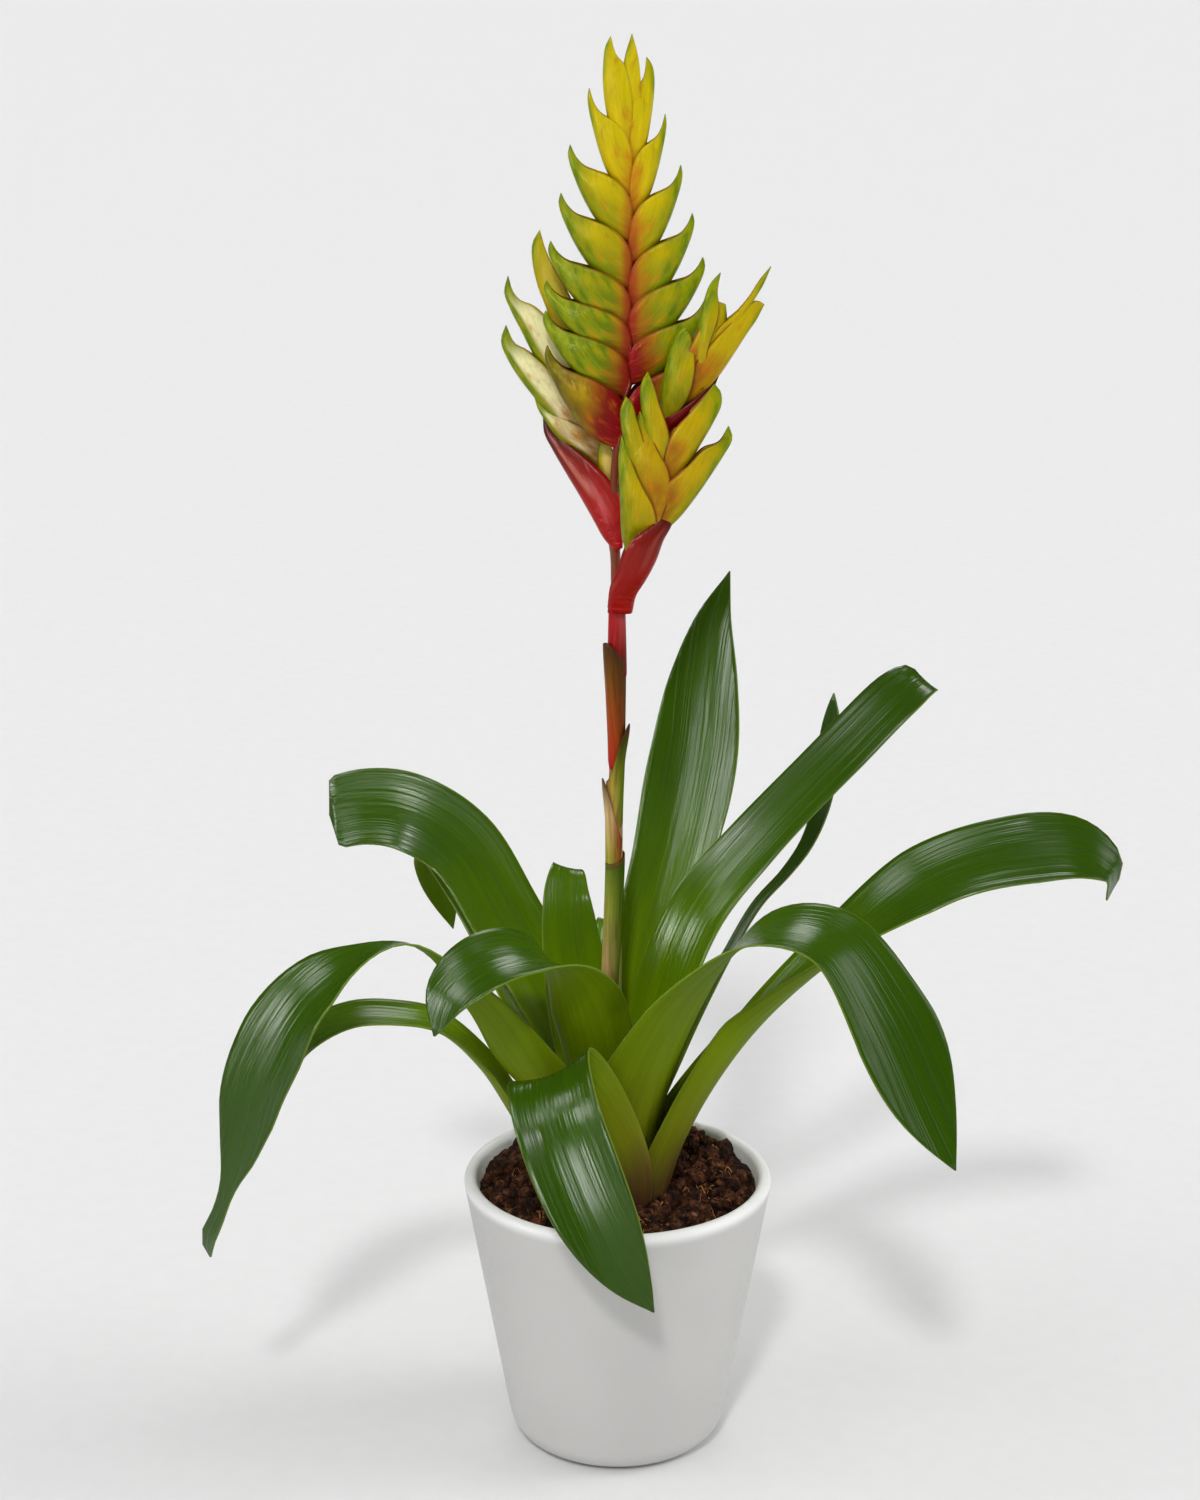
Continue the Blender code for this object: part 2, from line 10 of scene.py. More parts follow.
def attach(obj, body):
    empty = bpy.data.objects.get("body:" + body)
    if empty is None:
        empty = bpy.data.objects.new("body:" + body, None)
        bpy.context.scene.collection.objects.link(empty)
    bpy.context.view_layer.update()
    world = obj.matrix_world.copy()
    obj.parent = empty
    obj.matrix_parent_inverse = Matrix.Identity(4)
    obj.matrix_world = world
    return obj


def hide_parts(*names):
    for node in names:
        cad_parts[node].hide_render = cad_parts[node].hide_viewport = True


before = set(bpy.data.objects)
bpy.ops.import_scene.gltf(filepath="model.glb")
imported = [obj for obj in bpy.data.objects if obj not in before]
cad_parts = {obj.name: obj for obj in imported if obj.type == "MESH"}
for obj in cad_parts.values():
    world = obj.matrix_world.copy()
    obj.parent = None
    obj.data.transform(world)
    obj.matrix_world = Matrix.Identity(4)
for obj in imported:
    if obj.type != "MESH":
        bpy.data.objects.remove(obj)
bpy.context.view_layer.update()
scene = bpy.context.scene
mm = 0.001
mergeGap = 0.00001  # vertices nearer than this are one


def tone(red, green, blue):
    # a colour as a paint program gives it, 0 to 255, turned into Blender's linear values
    return tuple((v / 255 / 12.92) if v < 11 else ((v / 255 + 0.055) / 1.055) ** 2.4
                 for v in (red, green, blue))


def ease(t):
    t = np.clip(t, 0.0, 1.0)
    return t * t * (3 - 2 * t)


def unit(v):
    return v / np.linalg.norm(v)


def spread(values, count):
    # values given at even steps, read at count even steps
    return np.interp(np.linspace(0, 1, count), np.linspace(0, 1, len(values)), values)


def along(points, count):
    # points at even distances along a smooth curve through the given ones, and its length
    p = np.asarray(points, float)
    p = np.vstack([2 * p[0] - p[1], p, 2 * p[-1] - p[-2]])
    fine = []
    for p0, p1, p2, p3 in zip(p, p[1:], p[2:], p[3:]):
        k1 = np.linalg.norm(p1 - p0) ** 0.5
        k2 = k1 + np.linalg.norm(p2 - p1) ** 0.5
        k3 = k2 + np.linalg.norm(p3 - p2) ** 0.5
        for k in np.linspace(k1, k2, 32, endpoint=False):
            a1 = p0 + (p1 - p0) * k / k1
            a2 = p1 + (p2 - p1) * (k - k1) / (k2 - k1)
            a3 = p2 + (p3 - p2) * (k - k2) / (k3 - k2)
            b1 = a1 + (a2 - a1) * k / k2
            b2 = a2 + (a3 - a2) * (k - k1) / (k3 - k1)
            fine.append(b1 + (b2 - b1) * (k - k1) / (k2 - k1))
    fine = np.array(fine + [p[-2]])
    run = np.concatenate([[0], np.cumsum(np.linalg.norm(np.diff(fine, axis=0), axis=1))])
    at = np.linspace(0, run[-1], count)
    return np.stack([np.interp(at, run, fine[:, i]) for i in range(3)], axis=1), run[-1]


def pickUp(*pieces):
    for other in bpy.context.selected_objects:
        other.select_set(False)
    for piece in pieces:
        piece.select_set(True)
    bpy.context.view_layer.objects.active = pieces[0] if pieces else None


def mend(piece):
    # merges what meets at seams and poles, and turns the faces outwards
    pickUp(piece)
    bpy.ops.object.mode_set(mode="EDIT")
    bpy.ops.mesh.select_all(action="SELECT")
    bpy.ops.mesh.remove_doubles(threshold=mergeGap)
    bpy.ops.mesh.normals_make_consistent(inside=False)
    bpy.ops.object.mode_set(mode="OBJECT")


def thicken(piece, thick, inner=0):
    wall = piece.modifiers.new("wall", "SOLIDIFY")
    wall.thickness = thick * mm
    wall.offset = 0
    wall.material_offset = inner
    pickUp(piece)
    bpy.ops.object.modifier_apply(modifier=wall.name)


def newPiece(name, vertices, polygons):
    mesh = bpy.data.meshes.new(name)
    mesh.from_pydata(vertices, [], polygons)
    piece = bpy.data.objects.new(name, mesh)
    scene.collection.objects.link(piece)
    return piece


def addShare(mesh, name, values):
    # one value for each vertex, or one for all of them
    if np.isscalar(values):
        values = np.full(len(mesh.vertices), float(values))
    mesh.attributes.new(name, "FLOAT", "POINT").data.foreach_set("value", values)


def finishPiece(piece, node, slot, *finishes):
    for finish in finishes:
        piece.data.materials.append(finish)
    pickUp(piece)
    bpy.ops.object.shade_smooth()
    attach(piece, "root")
    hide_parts(node)
    return piece


def layGrid(name, points, across, length, extras=None):
    # a grid primitive laid on rows of points, with its real size in its UV map
    rows, columns = points.shape[:2]
    pickUp()
    bpy.ops.mesh.primitive_grid_add(x_subdivisions=columns - 1, y_subdivisions=rows - 1, size=1,
                                    location=(0, 0, 0))
    piece = bpy.context.active_object
    piece.name = name
    mesh = piece.data
    mesh.name = name
    flat = np.zeros(len(mesh.vertices) * 3)
    mesh.vertices.foreach_get("co", flat)
    flat = flat.reshape(-1, 3)
    column = np.rint((flat[:, 0] + 0.5) * (columns - 1)).astype(int)
    row = np.rint((flat[:, 1] + 0.5) * (rows - 1)).astype(int)
    mesh.vertices.foreach_set("co", (points[row, column] * mm).ravel())
    corner = np.zeros(len(mesh.loops), np.int32)
    mesh.loops.foreach_get("vertex_index", corner)
    uv = np.stack([across[row, column][corner], length * (row / (rows - 1))[corner]], axis=1) * mm
    layer = mesh.uv_layers.active or mesh.uv_layers.new()
    layer.name = "realSize"
    layer.data.foreach_set("uv", uv.ravel())
    addShare(mesh, "along", row / (rows - 1))
    addShare(mesh, "across", 2 * column / (columns - 1) - 1)
    for key, value in (extras or {}).items():
        addShare(mesh, key, value)
    mesh.update()
    return piece


def addNode(tree, kind, inputs=None, output=0, **settings):
    node = tree.nodes.new("ShaderNode" + kind)
    for key, value in settings.items():
        setattr(node, key, value)
    for key, value in (inputs or {}).items():
        if isinstance(value, bpy.types.NodeSocket):
            tree.links.new(value, node.inputs[key])
        else:
            node.inputs[key].default_value = value
    return node.outputs[output]


class Finish:
    # a material being put together, one node at a time

    def __init__(self, name, **shader):
        self.material = bpy.data.materials.new(name)
        self.material.use_nodes = True
        self.tree = self.material.node_tree
        self.shader = self.tree.nodes["Principled BSDF"]
        for socket, value in shader.items():
            self.shader.inputs[socket.replace("_", " ")].default_value = value

    def add(self, kind, inputs=None, output=0, **settings):
        return addNode(self.tree, kind, inputs, output, **settings)

    def math(self, operation, first, second=0.0, third=0.0):
        return self.add("Math", {0: first, 1: second, 2: third}, operation=operation)

    def times(self, first, second):
        return self.math("MULTIPLY", first, second)

    def plus(self, first, second):
        return self.math("ADD", first, second)

    def swing(self, value, amount):
        # a noise made to swing about zero
        return self.times(self.math("SUBTRACT", value, 0.5), amount)

    def step(self, value, low, high, lowOut=0.0, highOut=1.0):
        return self.add("MapRange", {0: value, 1: low, 2: high, 3: lowOut, 4: highOut},
                        interpolation_type="SMOOTHSTEP")

    def share(self, name):
        return self.add("Attribute", output="Fac", attribute_name=name)

    def edge(self):
        # 0 on the middle line of a piece and 1 on its margins
        return self.math("ABSOLUTE", self.share("across"))

    def height(self):
        return self.add("SeparateXYZ", {0: self.add("TexCoord", output="Object")}, output=2)

    def grain(self, source, scale, detail, roughness):
        place = self.add("Mapping", {"Vector": source, "Scale": scale})
        return self.add("TexNoise", {"Vector": place, "Scale": 1.0, "Detail": detail,
                                     "Roughness": roughness})

    def noise(self, scale, detail=3.0, roughness=0.55):
        # along the surface of the piece
        return self.grain(self.add("UVMap", uv_map="realSize"), scale, detail, roughness)

    def solid(self, scale, detail=3.0, roughness=0.55):
        # through the whole piece, with one scale or three
        scale = (scale, scale, scale) if np.isscalar(scale) else scale
        return self.grain(self.add("TexCoord", output="Object"), scale, detail, roughness)

    def mix(self, factor, first, second, blend="MIX"):
        inputs = {0: factor}
        for place, colour in ((6, first), (7, second)):
            inputs[place] = colour if isinstance(colour, bpy.types.NodeSocket) else (*colour, 1)
        return self.add("Mix", inputs, 2, data_type="RGBA", blend_type=blend)

    def stain(self, factor, colour, tint):
        return self.mix(factor, colour, self.mix(1.0, colour, tint, "MULTIPLY"))

    def ramp(self, factor, stops):
        node = self.tree.nodes.new("ShaderNodeValToRGB")
        self.tree.links.new(factor, node.inputs[0])
        elements = node.color_ramp.elements
        while len(elements) < len(stops):
            elements.new(0.5)
        for element, (place, colour) in zip(elements, stops):
            element.position = place
            element.color = (*colour, 1)
        return node.outputs[0]

    def bump(self, height, distance, strength=1.0, normal=None):
        inputs = {"Height": height, "Distance": distance, "Strength": strength}
        if normal is not None:
            inputs["Normal"] = normal
        return self.add("Bump", inputs)

    def join(self, socket, value):
        self.tree.links.new(value, self.shader.inputs[socket])


view = {
    "place": (-0.0077, -1.213, 0.674),
    "down": 16.4,  # degrees below level
    "lens": 72,
    "frameHeight": 36,
}


def makeCamera():
    camera = bpy.data.objects.new("camera", bpy.data.cameras.new("camera"))
    scene.collection.objects.link(camera)
    camera.location = view["place"]
    camera.rotation_euler = (math.radians(90 - view["down"]), 0, 0)
    camera.data.sensor_fit = "VERTICAL"
    camera.data.sensor_height = view["frameHeight"]
    camera.data.lens = view["lens"]
    camera.data.clip_end = 200
    scene.camera = camera


studio = {
    "floor": (0.81, 0.81, 0.81),
    "low": 0.26,  # light from the horizon
    "high": 0.58,  # light from straight above
    "mirrored": 0.10,  # share of it that shows in gloss
    "sunStrength": 1.0,
    "sunAngle": 6,  # how soft its shadows are, in degrees
    "sunTilt": 44,  # degrees above the floor
    "sunTurn": 8,  # degrees from straight in front
    # softboxes far away: turn and height in degrees, width, softness, brightness, and how
    # much brighter they are in gloss
    "boxes": [(-30, 2, 0.13, 0.05, 2.4, 15), (-70, 14, 0.10, 0.10, 2.2, 9),
              (-50, 53, 0.08, 0.12, 2.0, 6), (-88, 38, 0.09, 0.12, 2.4, 6),
              (40, 78, 0.12, 0.08, 1.4, 1.5), (92, 26, 0.24, 0.08, 4.4, 0.7),
              (180, 50, 0.16, 0.08, 1.6, 5)],
}


def makeStudio():
    pickUp()
    bpy.ops.mesh.primitive_plane_add(size=60, location=(0, 0, 0))
    floor = bpy.context.active_object
    floor.name = "floor"
    finish = Finish("paleFloor", Roughness=0.9, Specular_IOR_Level=0.04)
    grain = finish.solid(90, detail=2)
    colour = studio["floor"]
    finish.join("Base Color", finish.mix(finish.step(grain, 0.3, 0.7), colour,
                                         tuple(v * 0.985 for v in colour)))
    floor.data.materials.append(finish.material)

    sun = bpy.data.objects.new("keyLight", bpy.data.lights.new("keyLight", "SUN"))
    scene.collection.objects.link(sun)
    sun.data.energy = studio["sunStrength"]
    sun.data.angle = math.radians(studio["sunAngle"])
    sun.rotation_euler = (math.radians(90 - studio["sunTilt"]), 0, math.radians(-studio["sunTurn"]))

    world = bpy.data.worlds.new("studio")
    scene.world = world
    world.use_nodes = True
    add = functools.partial(addNode, world.node_tree)
    direction = add("TexCoord", output="Generated")
    glossy = add("LightPath", output="Is Glossy Ray")

    def lobe(aim, start, end, low, high):
        dot = add("VectorMath", {0: direction, 1: aim}, "Value", operation="DOT_PRODUCT")
        return add("MapRange", {0: dot, 1: start, 2: end, 3: low, 4: high},
                   interpolation_type="SMOOTHSTEP")

    def inGloss(amount):
        return add("MapRange", {0: glossy, 3: 1.0, 4: amount})

    # the room's pale walls light the plant, but are hardly seen in its gloss
    light = add("Math", {0: lobe((0, 0, 1), -0.1, 1.0, studio["low"], studio["high"]),
                         1: inGloss(studio["mirrored"])}, operation="MULTIPLY")
    for turn, height, width, softness, brightness, shine in studio["boxes"]:
        a, e = math.radians(turn), math.radians(height)
        aim = (math.sin(a) * math.cos(e), -math.cos(a) * math.cos(e), math.sin(e))
        box = lobe(aim, math.cos(width + softness), math.cos(width), 0, brightness)
        light = add("Math", {0: box, 1: inGloss(shine), 2: light}, operation="MULTIPLY_ADD")
    background = world.node_tree.nodes["Background"]
    world.node_tree.links.new(light, background.inputs["Strength"])
    background.inputs["Color"].default_value = (1, 1, 1, 1)
    scene.view_settings.view_transform = "Standard"


pot = {
    "height": 124.0,
    "rimRadius": 67.9,
    "baseRadius": 46.0,
    "corner": 14.0,
    "wall": 5.6,
    "floor": 7.0,
    "steps": 160,
}


def potSide(height, depth=0.0):
    # radius of the slanting side, or of a line that runs this deep inside it
    slope = (pot["rimRadius"] - pot["baseRadius"]) / pot["height"]
    return pot["baseRadius"] + slope * height - depth * math.hypot(1, slope)


def arc(centre, radius, start, end, steps):
    angles = np.radians(np.linspace(start, end, steps + 1))
    return [(centre[0] + radius * math.cos(a), centre[1] + radius * math.sin(a)) for a in angles]


def potProfile():
    # from the middle of the base, up the outside, over the rim and down inside
    lean = math.degrees(math.atan((pot["rimRadius"] - pot["baseRadius"]) / pot["height"]))
    lip, corner = pot["wall"] / 2, pot["corner"]
    lipCentre = (potSide(pot["height"] - lip, lip), pot["height"] - lip)
    foot = (potSide(corner, corner), corner)
    inner = corner - pot["wall"] + 2
    bottom = pot["floor"] + inner
    well = (potSide(bottom, pot["wall"]) - inner, bottom)
    profile = [(foot[0] * 0.6, 0.0)]
    profile += arc(foot, corner, -90, -lean, 12)
    low = np.array(profile[-1])
    top = arc(lipCentre, lip, -lean, 180 - lean, 14)
    for share in (0.25, 0.5, 0.75, 0.9):
        profile.append(tuple(low * (1 - share) + np.array(top[0]) * share))
    profile += top
    profile += arc(well, inner, -lean, -90, 6)
    return profile


def makePot():
    profile = potProfile()
    radius, height = profile[0]
    pickUp()
    bpy.ops.mesh.primitive_circle_add(vertices=pot["steps"], radius=radius * mm, fill_type="NGON",
                                      location=(0, 0, height * mm))
    piece = bpy.context.active_object
    piece.name = "white_pot"
    bpy.ops.object.transform_apply(location=True)
    bpy.ops.object.mode_set(mode="EDIT")
    bpy.ops.mesh.select_all(action="SELECT")
    bpy.ops.mesh.flip_normals()
    bpy.ops.mesh.select_mode(type="EDGE")
    for r, z in profile[1:]:
        bpy.ops.mesh.extrude_edges_move(TRANSFORM_OT_translate={"value": (0, 0, (z - height) * mm)})
        bpy.ops.transform.resize(value=(r / radius, r / radius, 1), center_override=(0, 0, 0))
        radius, height = r, z
    bpy.ops.mesh.fill()
    bpy.ops.mesh.select_all(action="SELECT")
    bpy.ops.mesh.normals_make_consistent(inside=False)
    bpy.ops.object.mode_set(mode="OBJECT")

    return finishPiece(piece, "pot", "white_ceramic", ceramicFinish())


def ceramicFinish():
    finish = Finish("whiteCeramic", Roughness=0.42, Specular_IOR_Level=0.4)
    cloud = finish.solid(14, detail=2)
    grain = finish.solid(900, detail=4, roughness=0.7)
    pits = finish.solid(260, detail=2)
    height = finish.height()
    colour = finish.mix(finish.step(cloud, 0.35, 0.65), tone(201, 200, 198), tone(197, 196, 194))
    # painted light: the inner wall above the soil is painted whiter, against the shade inside the
    # rim
    flatMap = finish.add("Mapping", {"Vector": finish.add("TexCoord", output="Object"),
                                     "Scale": (1, 1, 0)})
    radius = finish.add("VectorMath", {0: flatMap}, output="Value", operation="LENGTH")
    inside = finish.times(finish.step(radius, 0.0645, 0.0632), finish.step(height, 0.106, 0.11))
    colour = finish.mix(inside, colour, tone(250, 250, 248))
    # painted top light: the rim is painted whiter than the wall
    colour = finish.mix(finish.step(height, 0.1175, 0.1228), colour, tone(246, 246, 246))
    finish.join("Base Color", finish.mix(finish.step(grain, 0.62, 0.8, 0, 0.25), colour,
                                         tone(205, 205, 204)))
    finish.join("Roughness", finish.step(pits, 0.3, 0.7, 0.38, 0.5))
    finish.join("Normal", finish.bump(grain, 0.00006, normal=finish.bump(pits, 0.00008)))
    return finish.material


soil = {
    "depth": 9.0,  # below the rim
    "inner": 6.0,  # radius of the hole in the bed, under the crown
    "rows": 90,
    "columns": 241,
    # mounds and hollows: x, y, reach and lift
    "mounds": [(-40, 30, 18, 7), (34, 40, 16, 8), (52, 8, 14, 4), (-50, -14, 14, 3),
               (22, -28, 12, -2), (-18, -40, 14, -1), (0, 52, 14, 2)],
    "crumbs": 2400,
    "crumbEdge": 58,
    "sizes": (0.5, 0.7, 0.9, 1.2, 1.6, 2.2, 3.4),
    "fibres": 130,
    "fibreEdge": 57,
    "fibreStop": 59,  # no fibre runs further out
    "fibreSteps": 9,
    "fibreThick": (0.16, 0.2, 0.28, 0.38),
    # bundles of roots: x, y, reach and number
    "roots": [(-38, -28, 9, 26), (-30, -38, 7, 16), (16, -42, 5, 10), (34, -2, 8, 16),
              (30, 16, 8, 12)],
    "seed": 4,
}


def soilHeight(x, y):
    height = pot["height"] - soil["depth"]
    for cx, cy, reach, lift in soil["mounds"]:
        height += lift * math.exp(-((x - cx) ** 2 + (y - cy) ** 2) / (2 * reach**2))
    return height


def soilSurface(x, y):
    # the mean height with clods on it
    clods = noise.noise(Vector((x * 0.12, y * 0.12, 3))) * 4.0
    clods += abs(noise.noise(Vector((x * 0.26, y * 0.26, 9)))) * 5.0
    clods += noise.noise(Vector((x * 0.7, y * 0.7, 5))) * 2.0
    rim = ease((57 - math.hypot(x, y)) / 8)
    return soilHeight(x, y) - 1.0 + clods * (0.35 + 0.65 * rim) - 1.2 * (1 - rim)


def peatFinish():
    peat = Finish("darkPeat", Roughness=0.9, Specular_IOR_Level=0.2)
    coarse = peat.solid(220, detail=5, roughness=0.7)
    fine = peat.solid(900)
    strand = peat.solid((1500, 260, 300))
    lumps = peat.solid(70, detail=2)
    colour = peat.ramp(coarse, [(0.38, tone(20, 9, 5)), (0.48, tone(60, 30, 16)),
                                (0.58, tone(112, 66, 38)), (0.7, tone(176, 124, 82))])
    colour = peat.mix(peat.step(lumps, 0.4, 0.62, 0.55, 0), colour, tone(22, 10, 6))
    colour = peat.mix(peat.step(strand, 0.58, 0.75, 0, 0.5), colour, tone(118, 70, 36))
    peat.join("Base Color", peat.mix(peat.step(fine, 0.3, 0.7, 0.5, 0), colour, tone(14, 8, 5)))
    peat.join("Normal", peat.bump(fine, 0.0006, normal=peat.bump(coarse, 0.0012)))
    return peat.material


def makeBed():
    rows, columns = soil["rows"], soil["columns"]
    outer = potSide(pot["height"] - soil["depth"], pot["wall"]) + 0.5
    points = np.zeros((rows, columns, 3))
    for i, radius in enumerate(np.linspace(soil["inner"], outer, rows)):
        for j, angle in enumerate(np.linspace(0, 2 * math.pi, columns)):
            x, y = radius * math.cos(angle), radius * math.sin(angle)
            points[i, j] = (x, y, soilSurface(x, y))
    bed = layGrid("soil_bed", points, points[:, :, 0], 60)
    mend(bed)
    if bed.data.polygons[0].normal.z < 0:
        bed.data.flip_normals()
    return bed


def scatter(chance, edge, least):
    # a place within this radius, but not right beside the stalk
    radius = edge * math.sqrt(chance.uniform(least, 1))
    angle = chance.uniform(0, 2 * math.pi)
    return radius * math.cos(angle), radius * math.sin(angle)


def makeCrumbs(chance):
    pickUp()
    bpy.ops.mesh.primitive_cube_add(size=2, location=(0, 0, 0))
    lump = bpy.context.active_object
    bpy.ops.object.mode_set(mode="EDIT")
    bpy.ops.mesh.subdivide(number_cuts=1, smoothness=1)
    bpy.ops.object.mode_set(mode="OBJECT")
    corners = np.array([v.co for v in lump.data.vertices])
    faces = [tuple(p.vertices) for p in lump.data.polygons]
    bpy.data.objects.remove(lump)
    vertices, polygons = [], []
    for _ in range(soil["crumbs"]):
        x, y = scatter(chance, soil["crumbEdge"], 0.1)
        size = chance.choice(soil["sizes"]) * chance.uniform(0.8, 1.2)
        stretch = [chance.uniform(0.35, 1.6) for _ in range(3)]
        turn = Vector((chance.random(), chance.random(), chance.random())).to_track_quat("Z", "Y")
        z = soilSurface(x, y) + size * 0.25
        start = len(vertices)
        for corner in corners:
            wobble = 1 + 0.35 * noise.noise(Vector(corner * 1.7) + Vector((x, y, size)))
            p = turn @ Vector(corner * stretch * size * 0.6 * wobble)
            vertices.append(((x + p.x) * mm, (y + p.y) * mm, (z + p.z) * mm))
        polygons += [tuple(start + k for k in face) for face in faces]
    return newPiece("soil_crumbs", vertices, polygons)


def makeFibres(chance):
    steps = soil["fibreSteps"]
    starts = [scatter(chance, soil["fibreEdge"], 0.12) for _ in range(soil["fibres"])]
    for x, y, reach, number in soil["roots"]:
        starts += [(x + chance.uniform(-reach, reach), y + chance.uniform(-reach, reach))
                   for _ in range(number)]
    vertices, polygons = [], []
    for x, y in starts:
        heading = chance.uniform(0, 2 * math.pi)
        curl = chance.uniform(-0.5, 0.5)
        length = chance.uniform(4, 15)
        thick = chance.choice(soil["fibreThick"])
        lift = chance.uniform(0.6, 3.2)
        start = len(vertices)
        for k in range(steps + 1):
            t = k / steps
            x += math.cos(heading) * length / steps
            y += math.sin(heading) * length / steps
            heading += curl + chance.uniform(-0.25, 0.25)
            inward = min(1, soil["fibreStop"] / math.hypot(x, y))
            x, y = x * inward, y * inward
            z = soilSurface(x, y) + 0.3 + lift * math.sin(math.pi * t)
            wide = thick * (1 - 0.7 * t)
            for quarter in (0, math.pi / 2, math.pi, 3 * math.pi / 2):
                a = quarter + heading
                vertices.append(((x + wide * math.cos(a)) * mm, (y + wide * math.sin(a)) * mm,
                                 (z + wide * math.cos(quarter)) * mm))
        for low in range(start, start + 4 * steps, 4):
            for m in range(4):
                n = (m + 1) % 4
                polygons.append((low + m, low + n, low + 4 + n, low + 4 + m))
        last = start + 4 * steps
        polygons.append((start + 3, start + 2, start + 1, start))
        polygons.append((last, last + 1, last + 2, last + 3))
    fibres = newPiece("soil_fibres", vertices, polygons)
    mend(fibres)
    return fibres


def coirFinish():
    coir = Finish("coirFibre", Roughness=0.75, Specular_IOR_Level=0.3)
    coir.join("Base Color", coir.ramp(coir.solid(60, detail=2), [
        (0.35, tone(130, 70, 32)), (0.5, tone(186, 116, 60)), (0.65, tone(226, 176, 116))]))
    return coir.material


def makeSoil():
    chance = random.Random(soil["seed"])
    peat = peatFinish()
    finishPiece(makeBed(), "soil", "brown_coir", peat)
    finishPiece(makeCrumbs(chance), "soil", "brown_coir", peat)
    bpy.ops.object.shade_flat()
    finishPiece(makeFibres(chance), "soil", "brown_coir", coirFinish())


leafShape = {
    "crown": 98.3,  # height of the leaves' feet
    "flattest": 60.0,  # radius of a leaf's section far out
    "rows": 72,
    "columns": 16,
    "thick": 0.8,
}

